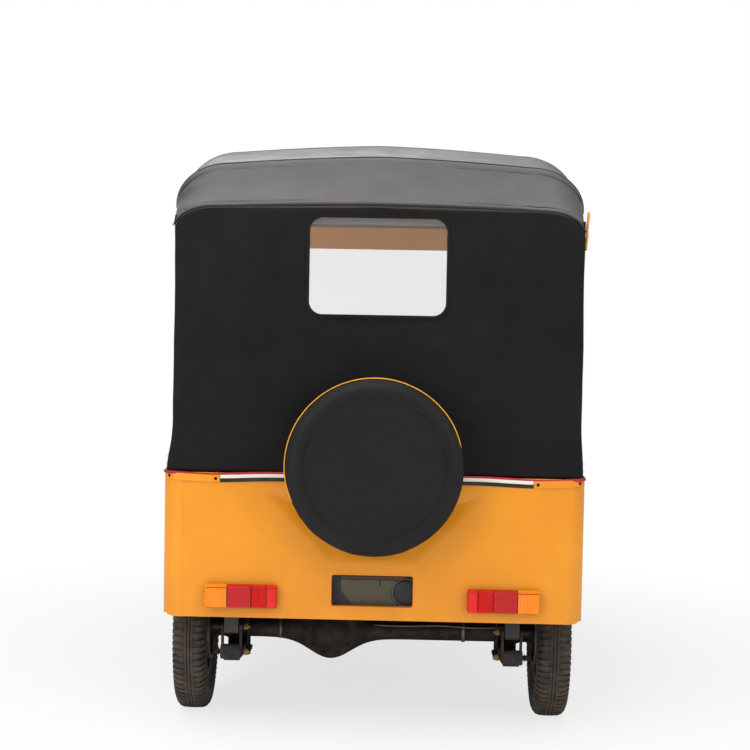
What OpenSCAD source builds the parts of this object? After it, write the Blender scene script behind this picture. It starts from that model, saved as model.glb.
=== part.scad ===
// Auto rickshaw: a three-wheeled passenger vehicle with a fabric canopy,
// a raked front fork, a leaf-sprung rear axle and a covered spare wheel.
// Millimetres. +Z is up, the front faces -Y, and +X is the vehicle's left.
// The origin is on the ground, at the middle of the vehicle's length and width.

/* [Body] */
// Width over the body panels
body_w = 1298; // [1190:2:1400]
// Distance between the front and rear axles
wheelbase = 2050; // [1950:10:2250]
// Height of the body's top edge, where the canopy starts
belt_z = 825; // [790:5:900]
// Height of the bottom edge of the rear body
hem_z = 377; // [365:1:390]
// Height of the top of the canopy
roof_z = 1907; // [1860:1:2000]
// Thickness of a body wall
wall = 25; // [18:1:30]
// Distance from the rear axle to the outside of the rear panel
rear_overhang = 410; // [395:5:480]
// Outside radius of the rear body's upright corners
corner_r = 62; // [45:1:75]

/* [Wheels] */
// Outside diameter of a tyre
tyre_d = 535; // [500:1:550]
// Width of a tyre
tyre_w = 108; // [90:1:116]
// Distance between the middles of the rear tyres
rear_track = 1160; // [1130:2:1160]
// Diameter of the rim where the tyre sits
rim_d = 316; // [290:1:330]
// Width of the rim between its outer edges
rim_w = 76; // [60:1:80]

/* [Steering] */
// Angle of the steering axis from the upright
rake = 22; // [18:1:24]
// Distance of the front axle ahead of the steering axis
fork_offset = 30; // [20:1:40]
// Distance from the middle of the fork to each leg
fork_leg_x = 92; // [88:1:100]

/* [Canopy] */
// Thickness of the canopy's fabric with its lining
cloth = 8; // [5:1:12]
// Radius of the canopy's steel tubes
bow_r = 11; // [8:1:13]
// Width of the rear window
window_w = 430; // [320:5:520]
// Height of the rear window
window_h = 307; // [240:2:330]

/* [Openings and lamps] */
// Width of the opening low in the rear panel
hatch_w = 250; // [180:5:300]
// Height of the opening low in the rear panel
hatch_h = 95; // [70:1:110]
// Width of a tail lamp
lamp_w = 226; // [180:2:240]
// Height of a tail lamp
lamp_h = 76; // [55:1:90]

/* [Hidden] */
$fn = 64;

// Clearances: fit is left between pieces that bear on each other, and shaft_fit
// between a spindle and the hub that runs on it
fit = 0.3;
shaft_fit = 0.06;
eps = 1;

// Main places, all from the driving sizes
half_w = body_w / 2;
inner_w = half_w - wall;
tyre_r = tyre_d / 2;
axle_z = tyre_r;
wheel_x = rear_track / 2;
guard_in = tyre_r + 32;
guard_t = 3;
guard_from = 15;
guard_to = 148;
cover_t = 3;
spare_gap = 24;
spare_stack = spare_gap + tyre_w + cover_t + 2 * fit;
front_reach = wheelbase + (guard_in + guard_t) * cos(guard_from);
rear_reach = rear_overhang + spare_stack;
rear_axle_y = (front_reach - rear_reach) / 2;
front_axle_y = rear_axle_y - wheelbase;
rear_y = rear_axle_y + rear_overhang;

// Ladder frame: two rails that rise over the rear axle
rail_x = 438;
rail_w = 40;
rail_h = 50;
rail_rise = 70;
floor_z = hem_z + 3;
floor_t = 12;
rail_z = floor_z - rail_h;
rail_front_y = front_axle_y + 372;
rise_y = rear_axle_y - 310;
rail_rear_y = rear_y - wall - fit;
rear_rail_z = rail_z + rail_rise;

// Cabin: the floor, the seats and the row of pieces from front to back
floor_top = floor_z + floor_t;
toe_y = front_axle_y + 352;
toe_lean = 48;
tunnel_z = axle_z + 382.5;
seat_x = 330;
engine_x = 170;
engine_y = -300;
engine_l = 340;
bench_y = rear_axle_y - 340;
quarter_y = bench_y + 40;
bench_top = 655;
cushion_t = 105;
backrest_y = bench_y + 450;
bulkhead_y = backrest_y + 130;

// Steering axis: its foot is the point on it nearest the front axle
foot_y = front_axle_y + fork_offset * cos(rake);
foot_z = axle_z - fork_offset * sin(rake);
steerer_r = 17;
crown_from = guard_in + guard_t + 15;
crown_h = 26;
head_from = 480;
head_to = 690;
head_r = 31;
steerer_to = 738;

// Windscreen: its plane leans back from the top of the cowl to the header
cowl_top = belt_z + 95;
cowl_nose_y = front_axle_y - 175;
cowl_nose_r = 900;
screen_y = front_axle_y - 58;
screen_top_y = screen_y + 250;
header_z = roof_z - 330;
header_h = 98;
pillar = 32;
screen_w = 1010;

// Canopy: half width of the rear curtain, and a table of the roof's bows with
// each one's place along the vehicle, height, half width and shoulder size
back_w = half_w - 21;
curtain_y = rear_y - 4;
valance_z = roof_z - 325;
curtain_z = belt_z + 3;
bow_y = 0;
bow_z = 1;
bow_w = 2;
bow_shoulder = 3;
BOWS = [
    [curtain_y, roof_z - 258, back_w, 72],
    [rear_y - 225, roof_z - 99, half_w - 7, 110],
    [rear_y - 560, roof_z - 45, half_w - 1, 150],
    [rear_y - 1300, roof_z, half_w - 1, 150],
    [screen_top_y - 70, header_z + 61, half_w - 15, 105]
];

// Spare wheel, on the rear panel
spare_z = belt_z + 40;
spare_y = rear_y + spare_gap + tyre_w / 2;
recess_depth = 16;

// Rear panel's opening and lamps
hatch_z = hem_z + 91;
lamp_x = 403;
lamp_z = hem_z + 75;
lamp_proud = 34;

// Hubs and spindles
spindle_r = 17;
front_spindle_r = 10;
hub_r = 42;
hub_l = 70;
drum_r = 104;
drum_l = 52;

// Rear axle and springs
axle_r = 30;
axle_end = wheel_x - tyre_w / 2 - 30;
banjo_x = 136;
banjo_r = 106;
spring_w = 50;
spring_half = 310;
leaf_t = 8;
leaf_top = axle_z - axle_r - leaf_t;
eye_r = 23;
eye_z = leaf_top + eye_r - 3;
pin_r = 8;
shackle_l = 82;
shackle_lean = 10;
shackle_t = 7;

module box(from, to) {
    translate(from) cube(to - from);
}

// A solid whose (x, z) outline runs from y0 to y1
module along_y(y0, y1) {
    translate([0, y1, 0]) rotate([90, 0, 0]) linear_extrude(y1 - y0) children();
}

// A solid whose (y, z) outline runs from x0 to x1
module along_x(x0, x1) {
    translate([x0, 0, 0]) rotate([90, 0, 90]) linear_extrude(x1 - x0) children();
}

module rod_x(r, x0, x1, y, z) {
    translate([x0, y, z]) rotate([0, 90, 0]) cylinder(r = r, h = x1 - x0);
}

module rod_y(r, y0, y1, x, z) {
    translate([x, y0, z]) rotate([-90, 0, 0]) cylinder(r = r, h = y1 - y0);
}

module both_sides() {
    children();
    mirror([1, 0, 0]) children();
}

module round_rect(w, h, r) {
    square([w, h - 2 * r], center = true);
    square([w - 2 * r, h], center = true);
    for (x = [-1, 1])
        for (y = [-1, 1])
            translate([x * (w / 2 - r), y * (h / 2 - r)]) circle(r = r);
}

// A link between two eyes, in its own plane
module link_outline(a, b, r) {
    translate(a) circle(r = r);
    translate(b) circle(r = r);
    turn = atan2(b[1] - a[1], b[0] - a[0]);
    translate(a) rotate(turn) translate([0, 1 - r]) square([norm(b - a), 2 * r - 2]);
}

// The turning parts of the steering are drawn about the steering axis
module on_steering() {
    translate([0, foot_y, foot_z]) rotate([-rake, 0, 0]) children();
}

module chassis_frame() {
    color("dimgray") {
        difference() {
            union() {
                both_sides() along_x(rail_x - rail_w / 2, rail_x + rail_w / 2) rail_outline();
                for (y = [rail_front_y, engine_y - rail_w, engine_y + engine_l, rise_y - 80])
                    box([-rail_x, y, rail_z + 5], [rail_x, y + rail_w, floor_z]);
                for (y = [rise_y + 110, rail_rear_y - rail_w])
                    box([-rail_x, y, rear_rail_z], [rail_x, y + rail_w, rear_rail_z + rail_h]);
                box([-rail_x, rail_rear_y - 330, rear_rail_z], [rail_x, rail_rear_y, rear_rail_z + 6]);
                both_sides() spring_hangers();
                tow_eye();
            }
            both_sides() {
                rod_x(pin_r + fit, rail_x - 60, rail_x + 60, front_eye_y, eye_z);
                rod_x(pin_r + fit, rail_x - 60, rail_x + 60, rear_eye_y + shackle_lean, shackle_top);
            }
            rod_x(tow_hole_r, -60, 60, tow_y, tow_z);
        }
    }
}

front_eye_y = rear_axle_y - spring_half;
rear_eye_y = rear_axle_y + spring_half;
shackle_top = eye_z + shackle_l;
tow_hole_r = 12;
tow_y = rail_front_y - 24;
tow_z = rail_z + 20;

module rail_outline() {
    polygon([
        [rail_front_y, rail_z], [rise_y, rail_z], [rise_y + 100, rear_rail_z],
        [rail_rear_y, rear_rail_z], [rail_rear_y, rear_rail_z + rail_h],
        [rise_y + 80, rear_rail_z + rail_h], [rise_y - 20, floor_z], [rail_front_y, floor_z]
    ]);
}

// Hangers under each rail: two cheeks at the front eye, one block over the shackle
module spring_hangers() {
    for (side = [-1, 1])
        along_x(
            rail_x + side * (spring_w / 2 + fit + shackle_t / 2) - shackle_t / 2,
            rail_x + side * (spring_w / 2 + fit + shackle_t / 2) + shackle_t / 2
        ) {
            translate([front_eye_y, eye_z]) circle(r = eye_r);
            translate([front_eye_y - eye_r, eye_z]) square([2 * eye_r, rail_z + 30 - eye_z]);
        }
    box([rail_x - spring_w / 2 - shackle_t, front_eye_y - eye_r, rail_z], [
        rail_x + spring_w / 2 + shackle_t, front_eye_y + eye_r, rail_z + 30
    ]);
    along_x(rail_x - 22, rail_x + 22) {
        translate([rear_eye_y + shackle_lean, shackle_top]) circle(r = eye_r);
        translate([rear_eye_y + shackle_lean - eye_r, shackle_top]) square([
            2 * eye_r, rear_rail_z + 10 - shackle_top
        ]);
    }
}

// Tie-down eye: a drilled plate under the front cross member
module tow_eye() {
    along_x(-6, 6) {
        translate([tow_y, tow_z]) circle(r = 24);
        translate([tow_y, tow_z - 24]) square([24 + eps, 48]);
    }
}

// Head tube on its strut, which stands on the floor behind the toe board
module steering_neck() {
    color("dimgray") difference() {
        union() {
            on_steering() translate([0, 0, head_from]) cylinder(r = head_r, h = head_to - head_from);
            along_x(-34, 34) polygon([
                [toe_y + 1, floor_top], [toe_y + 105, floor_top], [toe_y + 50, tunnel_z + 90],
                [head_y(590) + 20, head_z(590)], [head_y(640), head_z(640)],
                [head_y(500), head_z(500)], [toe_y - toe_lean + 1, tunnel_z + fit]
            ]);
        }
        on_steering() cylinder(r = steerer_r + fit, h = 900);
    }
}

function head_y(s) = foot_y + s * sin(rake);
function head_z(s) = foot_z + s * cos(rake);

// Floor, toe board and the roof of the front wheel's tunnel
module floor_pan() {
    color("gray") difference() {
        union() {
            box([-inner_w + fit, toe_y - 12, floor_z], [inner_w - fit, bench_y, floor_top]);
            intersection() {
                along_x(-inner_w, inner_w) polygon([
                    [toe_y - 12, floor_z], [toe_y, floor_top], [toe_y - toe_lean, tunnel_z],
                    [cowl_nose_y + 20, tunnel_z], [cowl_nose_y + 20, tunnel_z - 12],
                    [toe_y - toe_lean - 10, tunnel_z - 12]
                ]);
                linear_extrude(tunnel_z + eps) cowl_plan(wall + fit);
            }
        }
        box([-engine_x - fit, engine_y - fit, 0], [engine_x + fit, engine_y + engine_l + fit, floor_top + eps]);
        on_steering() translate([0, 0, crown_from + 40]) cylinder(r = 46, h = 160);
    }
}

// Plan of the cowl, drawn in by a distance on every side
module cowl_plan(inset) {
    offset(r = 140 - inset) offset(delta = -140) intersection() {
        translate([-half_w, -2000]) square([body_w, 2000 + toe_y + 150]);
        translate([0, cowl_nose_y + cowl_nose_r]) circle(r = cowl_nose_r);
    }
}

// Front cowl: one wrapped wall with the wheel's arch below and a scuttle on top
module front_cowl() {
    color("goldenrod") difference() {
        union() {
            intersection() {
                linear_extrude(cowl_top) difference() {
                    cowl_plan(0);
                    cowl_plan(wall);
                }
                along_x(-half_w, half_w) polygon([
                    [cowl_nose_y - 5, tunnel_z - 20], [front_axle_y + 60, tunnel_z - 60],
                    [toe_y - 60, hem_z], [toe_y, hem_z], [toe_y, cowl_top], [cowl_nose_y - 5, cowl_top]
                ]);
            }
            intersection() {
                translate([0, 0, cowl_top - 18]) linear_extrude(18) cowl_plan(0);
                box([-half_w, cowl_nose_y - 5, 0], [half_w, scuttle_y, cowl_top]);
            }
        }
        both_sides() rod_y(lamp_cup_r + fit, cowl_nose_y - 20, cowl_nose_y + 130, headlamp_x, headlamp_z);
    }
}

scuttle_y = screen_y + 90;
lamp_cup_r = 74;
headlamp_x = 300;
headlamp_z = belt_z - 95;

module dashboard() {
    color("black") {
        box([-440, scuttle_y + fit, tunnel_z + fit], [440, scuttle_y + 40, cowl_top - 20]);
        along_y(scuttle_y + 5, scuttle_y + 75) translate([0, cowl_top - 25]) round_rect(240, 110, 24);
    }
}

module headlamps() {
    color("silver") both_sides() {
        rod_y(lamp_cup_r, cowl_nose_y - 8, cowl_nose_y + 120, headlamp_x, headlamp_z);
    }
}

// Windscreen frame, drawn flat and leaned back on the cowl
screen_lean = atan2(screen_top_y - screen_y, header_z - cowl_top);
screen_h = norm([screen_top_y - screen_y, header_z - cowl_top]);

module on_screen() {
    translate([0, screen_y, cowl_top + 8]) rotate([-screen_lean, 0, 0]) children();
}

module windscreen_frame() {
    color("goldenrod") difference() {
        on_screen() difference() {
            along_y(0, pillar) translate([0, screen_h / 2]) round_rect(screen_w, screen_h + header_h, 60);
            along_y(-eps, pillar + eps) translate([0, screen_h / 2]) round_rect(
                screen_w - 2 * pillar, screen_h + header_h - 2 * header_h, 45
            );
            along_y(pillar / 2 - 3 - fit, pillar / 2 + 3 + fit) translate([0, screen_h / 2]) round_rect(
                screen_w - 24, screen_h - 12, 50
            );
        }
        box([-half_w, screen_y - 100, 0], [half_w, screen_y + 200, cowl_top + fit]);
    }
}

module windscreen_glass() {
    color("lightcyan", 0.4) on_screen() along_y(pillar / 2 - 3, pillar / 2 + 3)
        translate([0, screen_h / 2]) round_rect(screen_w - 24 - 2 * fit, screen_h - 12 - 2 * fit, 50);
}

module side_sills() {
    color("goldenrod") both_sides()
        box([inner_w, toe_y + fit, hem_z], [half_w, quarter_y - fit, hem_z + 62]);
}

// Plan of the rear body's wall: sides and rounded rear corners
module rear_plan(inset) {
    w = half_w - inset;
    r = corner_r - inset;
    translate([-w, 0]) square([2 * w, rear_y - corner_r]);
    translate([-w + r, 0]) square([2 * w - 2 * r, rear_y - inset]);
    for (x = [-1, 1])
        translate([x * (w - r), rear_y - corner_r]) circle(r = r);
}

// Left side of the rear body, with the wheel's arch cut out of it
module quarter_panel() {
    difference() {
        intersection() {
            translate([0, 0, hem_z]) linear_extrude(belt_z - hem_z) difference() {
                rear_plan(0);
                rear_plan(wall);
            }
            union() {
                box([inner_w - eps, quarter_y, hem_z], [half_w + eps, rear_y - corner_r, belt_z]);
                along_y(rear_y - corner_r - eps, rear_y + eps) lower_corner();
            }
        }
        rod_x(arch_r, inner_w - 5, half_w + 5, rear_axle_y, axle_z);
    }
}

arch_r = tyre_r + 34;
lower_r = 30;

// Outline of the rear corner seen from behind, rounded at the bottom
module lower_corner() {
    translate([half_w - lower_r, hem_z + lower_r]) circle(r = lower_r);
    translate([half_w - corner_r, hem_z]) square([corner_r - lower_r, belt_z - hem_z]);
    translate([half_w - corner_r, hem_z + lower_r]) square([corner_r + eps, belt_z - hem_z - lower_r]);
}

module quarter_panel_left() {
    color("goldenrod") quarter_panel();
}

module quarter_panel_right() {
    color("goldenrod") mirror([1, 0, 0]) quarter_panel();
}

// Rear panel between the corners, with the pressed recess behind the spare wheel
module rear_panel() {
    w = half_w - corner_r - fit;
    color("goldenrod") difference() {
        box([-w, rear_y - wall, hem_z], [w, rear_y, belt_z]);
        along_y(rear_y - recess_depth, rear_y + eps) polygon([
            [-338, belt_z - 52], [338, belt_z - 52], [132, belt_z - 261], [-132, belt_z - 261]
        ]);
        along_y(rear_y - wall - eps, rear_y + eps) translate([0, hatch_z]) round_rect(hatch_w, hatch_h, 12);
        for (x = [-1, 1])
            rod_y(plate_hole_r, rear_y - wall - eps, rear_y + eps, x * plate_hole_x, plate_hole_z);
    }
}

plate_hole_r = 4.5;
plate_hole_x = 100;
plate_hole_z = hem_z + 22;

// Arch-shaped boxes over the rear tyres
module wheelhouses() {
    r = arch_r + 6;
    from_x = wheel_x - tyre_w / 2 - 26;
    color("gray") both_sides() difference() {
        rod_x(r + 4, from_x, inner_w - fit, rear_axle_y, axle_z);
        rod_x(r, from_x + 4, half_w, rear_axle_y, axle_z);
        box([0, rear_axle_y - 400, axle_z - 400], [half_w, rear_axle_y + 400, hem_z]);
        box([0, rear_axle_y + 330, 0], [half_w, rear_axle_y + 500, belt_z]);
    }
}

// Metal strip that holds the canopy's lower edge
module belt_trim() {
    color("silver") {
        box([-inner_strip, rear_y + fit, belt_z - 24], [inner_strip, rear_y + 4, belt_z]);
        both_sides() box([inner_strip + 2, rear_y + fit, belt_z - 24], [half_w - corner_r, rear_y + 5, belt_z]);
    }
}

inner_strip = 464;

module tail_lamps() {
    color("firebrick") both_sides() along_y(rear_y + fit, rear_y + lamp_proud)
        translate([lamp_x, lamp_z]) round_rect(lamp_w, lamp_h, 9);
}

module driver_seat_base() {
    color("dimgray") difference() {
        box([-seat_x, engine_y - 40, floor_top], [seat_x, engine_y + engine_l + 40, seat_top]);
        box([-seat_x + 20, engine_y - 20, floor_top - eps], [seat_x - 20, engine_y + engine_l + 20, seat_top - 20]);
    }
}

seat_top = floor_top + 250;

module driver_cushion() {
    color("black") box([-seat_x + 5, engine_y - 35, seat_top + fit], [seat_x - 5, seat_back_y, seat_top + 90]);
}

seat_back_y = engine_y + engine_l - 30;

module driver_backrest() {
    color("black") box([-seat_x + 5, seat_back_y + fit, seat_top + fit], [
        seat_x - 5, seat_back_y + 66, seat_top + 330
    ]);
}

// Hoop between the driver and the passengers, with its rails
module partition() {
    y = partition_y;
    color("dimgray") {
        both_sides() translate([partition_x, y, floor_top]) cylinder(r = bow_r, h = rail_up_z - bow_r - 3 - fit - floor_top);
        for (z = [floor_top + bow_r, seat_top + 110, seat_top + 300])
            rod_x(bow_r, -partition_x, partition_x, y, z);
    }
}

partition_y = engine_y + engine_l + 60;
partition_x = inner_w - 14;

// Bench: front board, seat board, the upright behind the backrest and its shelf
module passenger_seat_base() {
    x = inner_w - fit;
    bulkhead_x = back_w - cloth - fit;
    color("gray") difference() {
        union() {
            box([-x, bench_y + fit, floor_z], [x, bench_y + 16, bench_top]);
            box([-x, bench_y + fit, bench_top - 14], [x, rear_y - corner_r, bench_top]);
            box([-bulkhead_x, bulkhead_y + fit, bench_top], [bulkhead_x, bulkhead_y + 14, backrest_top - 40]);
        }
        both_sides() box([rail_x - 21, bench_y, 0], [rail_x + 21, bench_y + 20, rear_rail_z + rail_h + 1]);
        both_sides() box([partition_x - bow_r - 8, bench_y + 40, bench_top - 20], [inner_w + 5, bench_y + 80, bench_top + 1]);
    }
}

backrest_top = bench_top + 500;

module passenger_cushion() {
    color("black") box([-inner_w + 30, bench_y + 6, bench_top + fit], [
        inner_w - 30, backrest_y - fit, bench_top + cushion_t
    ]);
}

module passenger_backrest() {
    color("black") box([-inner_w + 30, backrest_y, bench_top + fit], [inner_w - 30, bulkhead_y, backrest_top]);
}

// Canopy's steel frame: hoops under the roof, rails along both sides, and posts
rail_r = bow_r + 3;
hoop_x = back_w - cloth - rail_r - fit;
rail_up_z = valance_z - 40;

module hoop(y, top, r) {
    translate([0, y, 0]) {
        rod_x(bow_r, -hoop_x + r, hoop_x - r, 0, top - bow_r);
        both_sides() {
            translate([hoop_x - r, 0, top - bow_r - r]) rotate([90, 0, 0])
                rotate_extrude(angle = 90) translate([r, 0]) circle(r = bow_r);
            translate([hoop_x, 0, rail_up_z]) cylinder(r = bow_r + 1, h = top - bow_r - r - rail_up_z + 2);
        }
    }
}

hoop_drop = cloth + 5;
rear_hoop_y = curtain_y - cloth - bow_r - 1 - fit;

// Height of the roof between its two middle bows
function roof_at(y) = BOWS[3][bow_z]
    - (BOWS[3][bow_z] - BOWS[2][bow_z]) * (y - BOWS[3][bow_y]) / (BOWS[2][bow_y] - BOWS[3][bow_y]);

module canopy_frame() {
    color("dimgray") {
        hoop(rear_hoop_y, BOWS[0][bow_z] - hoop_drop, 72);
        hoop(BOWS[1][bow_y], BOWS[1][bow_z] - hoop_drop, 118);
        hoop(BOWS[2][bow_y], BOWS[2][bow_z] - hoop_drop, 158);
        for (y = [quarter_y + 70, partition_y + 30])
            hoop(y, roof_at(y) - cloth - 2 * fit, 158);
        both_sides() {
            rod_y(rail_r, screen_top_y + 20, rear_hoop_y + 4, hoop_x, rail_up_z);
            for (y = [rear_hoop_y - 40, quarter_y + 20])
                translate([hoop_x, y, post_foot_z]) cylinder(r = bow_r, h = rail_up_z - post_foot_z);
        }
    }
}

post_foot_z = bench_top + fit;

// One cross-section of the canopy, drawn in by a distance
module bow_section(bow, inset, low) {
    r = bow[bow_shoulder] - inset;
    top = bow[bow_z] - inset;
    w = bow[bow_w] - inset;
    translate([0, bow[bow_y] + 0.05, 0]) rotate([90, 0, 0]) linear_extrude(0.1) hull() {
        for (x = [-1, 1])
            translate([x * (w - r), top - r]) circle(r = r, $fn = 32);
        translate([-w, low]) square([2 * w, 10]);
    }
}

module canopy_hull(inset, low) {
    for (i = [0:len(BOWS) - 2])
        hull() {
            bow_section(BOWS[i], inset, low);
            bow_section(BOWS[i + 1], inset, low);
        }
}

module canopy_roof() {
    color("dimgray") difference() {
        canopy_hull(0, valance_z);
        canopy_hull(cloth, valance_z - 20);
        box([-half_w - 50, BOWS[4][bow_y] - 50, 0], [half_w + 50, curtain_y + 50, valance_z]);
        box([-half_w - 50, curtain_y - cloth - fit, valance_z - 50], [half_w + 50, curtain_y + 50, roof_z]);
        box([-half_w - 50, BOWS[4][bow_y] - 50, valance_z - 50], [half_w + 50, BOWS[4][bow_y] + 2, roof_z]);
    }
}

// Rear curtain's outline, from the belt to the first bow
module curtain_outline(inset) {
    top = BOWS[0][bow_z] - inset;
    w = back_w - inset;
    r = BOWS[0][bow_shoulder] - inset;
    translate([-w, curtain_z]) square([2 * w, top - r - curtain_z]);
    translate([-w + r, curtain_z]) square([2 * w - 2 * r, top - curtain_z]);
    for (x = [-1, 1])
        translate([x * (w - r), top - r]) circle(r = r);
}

window_z = belt_z + 639;

module canopy_back() {
    color("black") along_y(curtain_y - cloth, curtain_y) difference() {
        curtain_outline(0);
        translate([0, window_z]) round_rect(window_w, window_h, 42);
    }
}

module rear_window() {
    color("white", 0.3) along_y(curtain_y - cloth / 2 - 1, curtain_y - cloth / 2 + 1)
        translate([0, window_z]) round_rect(window_w - 2 * fit, window_h - 2 * fit, 42);
}

// Fabric sides behind the passengers, up to the roof's lower edge
module canopy_sides() {
    color("black") both_sides()
        box([back_w - cloth, quarter_y, curtain_z], [back_w, curtain_y - cloth - fit, valance_z - fit]);
}

// Spare wheel: carrier, rim, tyre and cover share one axis along Y
module on_spare() {
    translate([0, spare_y, spare_z]) rotate([-90, 0, 0]) children();
}

module spare_carrier() {
    plate_y = rear_y + 8;
    color("dimgray") {
        box([-45, plate_y, spare_z - 225], [45, plate_y + 10, spare_z + 42]);
        for (z = [spare_z - 205, spare_z - 120])
            rod_y(18, rear_y - recess_depth + fit, plate_y + eps, 0, z);
        rod_y(hub_r, plate_y + 9, spare_y - hub_l / 2 - fit, 0, spare_z);
        rod_y(spindle_r - fit, plate_y + 9, spare_y + hub_l / 2 + 6, 0, spare_z);
    }
}

// Rim about Z: barrel, two flanges, disc and hub
module rim(hub_bore) {
    rotate_extrude() {
        translate([rim_d / 2 - 8, -rim_w / 2]) square([8, rim_w]);
        for (y = [-rim_w / 2, rim_w / 2 - 3])
            translate([rim_d / 2 - 8, y]) square([18, 3]);
        translate([hub_r - 2, -4]) square([rim_d / 2 - 6 - hub_r, 8]);
        translate([hub_bore, -hub_l / 2]) square([hub_r - hub_bore, hub_l]);
    }
}

module tyre() {
    bead = rim_w - 6 - 2 * fit;
    from = rim_d / 2 + fit;
    wall_h = tyre_r - from - 18;
    rotate_extrude() {
        translate([from, -bead / 2]) square([50, bead]);
        translate([(tyre_r + from + 18) / 2, 0]) round_rect(wall_h, tyre_w, min(26, wall_h / 2 - 1));
    }
}

module spare_rim() {
    color("gray") on_spare() rim(spindle_r + shaft_fit);
}

module spare_tyre() {
    color("black") on_spare() tyre();
}

module spare_cover() {
    face = tyre_w / 2 + fit;
    color("black") on_spare() rotate_extrude() {
        translate([0, face]) square([tyre_r + fit, cover_t]);
        translate([tyre_r + fit, -tyre_w / 2 + 12]) square([cover_t, tyre_w / 2 - 12 + face + cover_t]);
    }
}

// Rear axle: tubes with an offset differential housing, spindles and spring seats
module rear_axle() {
    color("dimgray") {
        rod_x(axle_r, -axle_end, axle_end, rear_axle_y, axle_z);
        both_sides() {
            rod_x(92, axle_end - 6, axle_end, rear_axle_y, axle_z);
            rod_x(spindle_r, axle_end - eps, wheel_x + hub_l / 2 + 8, rear_axle_y, axle_z);
            box([rail_x - spring_w / 2, rear_axle_y - 45, leaf_top + fit], [
                rail_x + spring_w / 2, rear_axle_y + 45, axle_z
            ]);
        }
        rod_y(banjo_r, rear_axle_y - 45, rear_axle_y + 45, banjo_x, axle_z);
        translate([banjo_x, rear_axle_y + 45, axle_z]) rotate([-90, 0, 0])
            cylinder(r1 = banjo_r - 6, r2 = 60, h = 38);
        for (s = [-1, 1])
            translate([banjo_x, rear_axle_y, axle_z]) rotate([0, s * 90, 0])
                cylinder(r1 = 78, r2 = axle_r, h = 190);
        rod_y(46, pinion_y, rear_axle_y, banjo_x, axle_z);
    }
}

pinion_y = rear_axle_y - 150;

// Leaf springs under the axle, with a rolled eye at each end
module leaf_springs() {
    color("black") both_sides() difference() {
        union() {
            box([rail_x - spring_w / 2, rear_axle_y - spring_half, leaf_top - leaf_t], [
                rail_x + spring_w / 2, rear_axle_y + spring_half, leaf_top
            ]);
            for (i = [1:3])
                box([rail_x - spring_w / 2, rear_axle_y - spring_half + 75 * i, leaf_top - leaf_t * (i + 1)], [
                    rail_x + spring_w / 2, rear_axle_y + spring_half - 75 * i, leaf_top - leaf_t * i
                ]);
            for (y = [front_eye_y, rear_eye_y])
                rod_x(eye_r, rail_x - spring_w / 2, rail_x + spring_w / 2, y, eye_z);
        }
        for (y = [front_eye_y, rear_eye_y])
            rod_x(pin_r + fit, rail_x - spring_w, rail_x + spring_w, y, eye_z);
    }
}

// Shackle plates beside the rear eye, with pins through both eyes and hangers
module spring_shackles() {
    gap = spring_w / 2 + fit;
    color("gray") both_sides() {
        for (side = [-1, 1])
            along_x(rail_x + side * (gap + shackle_t / 2) - shackle_t / 2, rail_x + side * (gap + shackle_t / 2) + shackle_t / 2)
                link_outline([rear_eye_y, eye_z], [rear_eye_y + shackle_lean, shackle_top], 15);
        rod_x(pin_r, rail_x - gap - shackle_t - 10, rail_x + gap + shackle_t + 10, front_eye_y, eye_z);
        rod_x(pin_r, rail_x - gap - shackle_t - 10, rail_x + gap + shackle_t + 10, rear_eye_y, eye_z);
        rod_x(pin_r, rail_x - gap - shackle_t - 10, rail_x + gap + shackle_t + 10, rear_eye_y + shackle_lean, shackle_top);
    }
}

module engine() {
    color("gray") box([-engine_x, engine_y, rail_z - 75], [engine_x, engine_y + engine_l, seat_top - 30]);
}

// Shaft from the engine's gearbox to the axle's pinion, with a joint at each end
module propshaft() {
    z0 = rail_z - 42;
    y0 = engine_y + engine_l + fit;
    length = norm([banjo_x - 60, pinion_y - fit - y0, axle_z - z0]);
    yaw = -atan2(banjo_x - 60, pinion_y - y0);
    pitch = -atan2(z0 - axle_z, norm([banjo_x - 60, pinion_y - y0]));
    color("gray") {
        translate([60, y0, z0]) rotate([pitch, 0, yaw]) rotate([-90, 0, 0])
            translate([0, 0, 20]) cylinder(r = 22, h = length - 40);
        rod_y(32, y0, y0 + 40, 60, z0);
        rod_y(32, pinion_y - fit - 40, pinion_y - fit, banjo_x, axle_z);
    }
}

tray_z = rear_rail_z + 6;

module fuel_tank() {
    color("gray") along_y(rail_rear_y - 290, rail_rear_y - 44) polygon([
        [-78, tray_z + fit], [88, tray_z + fit], [112, tray_z + 24], [112, tray_z + 122], [-78, tray_z + 122]
    ]);
}

module air_cleaner() {
    color("black") translate([-128, rail_rear_y - 120, tray_z + fit]) cylinder(r = 46, h = 150);
}

module muffler() {
    y0 = engine_y + engine_l + 110;
    y1 = rise_y - 138;
    color("dimgray") {
        rod_y(52, y0, y1, 250, floor_z - 70);
        for (y = [y0 + 30, y1 - 50])
            box([240, y, floor_z - 30], [260, y + 20, floor_z - fit]);
    }
}

module mirrors() {
    color("black") both_sides() {
        rod_x(7, mirror_from, half_w + 8, mirror_y, mirror_z);
        along_y(mirror_y - 16, mirror_y + 12) translate([half_w - 25, mirror_z]) round_rect(110, 150, 22);
    }
}

mirror_z = cowl_top + 330;
mirror_y = screen_y + (mirror_z - cowl_top) * tan(screen_lean) + 12;
mirror_from = screen_w / 2 + fit;

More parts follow.
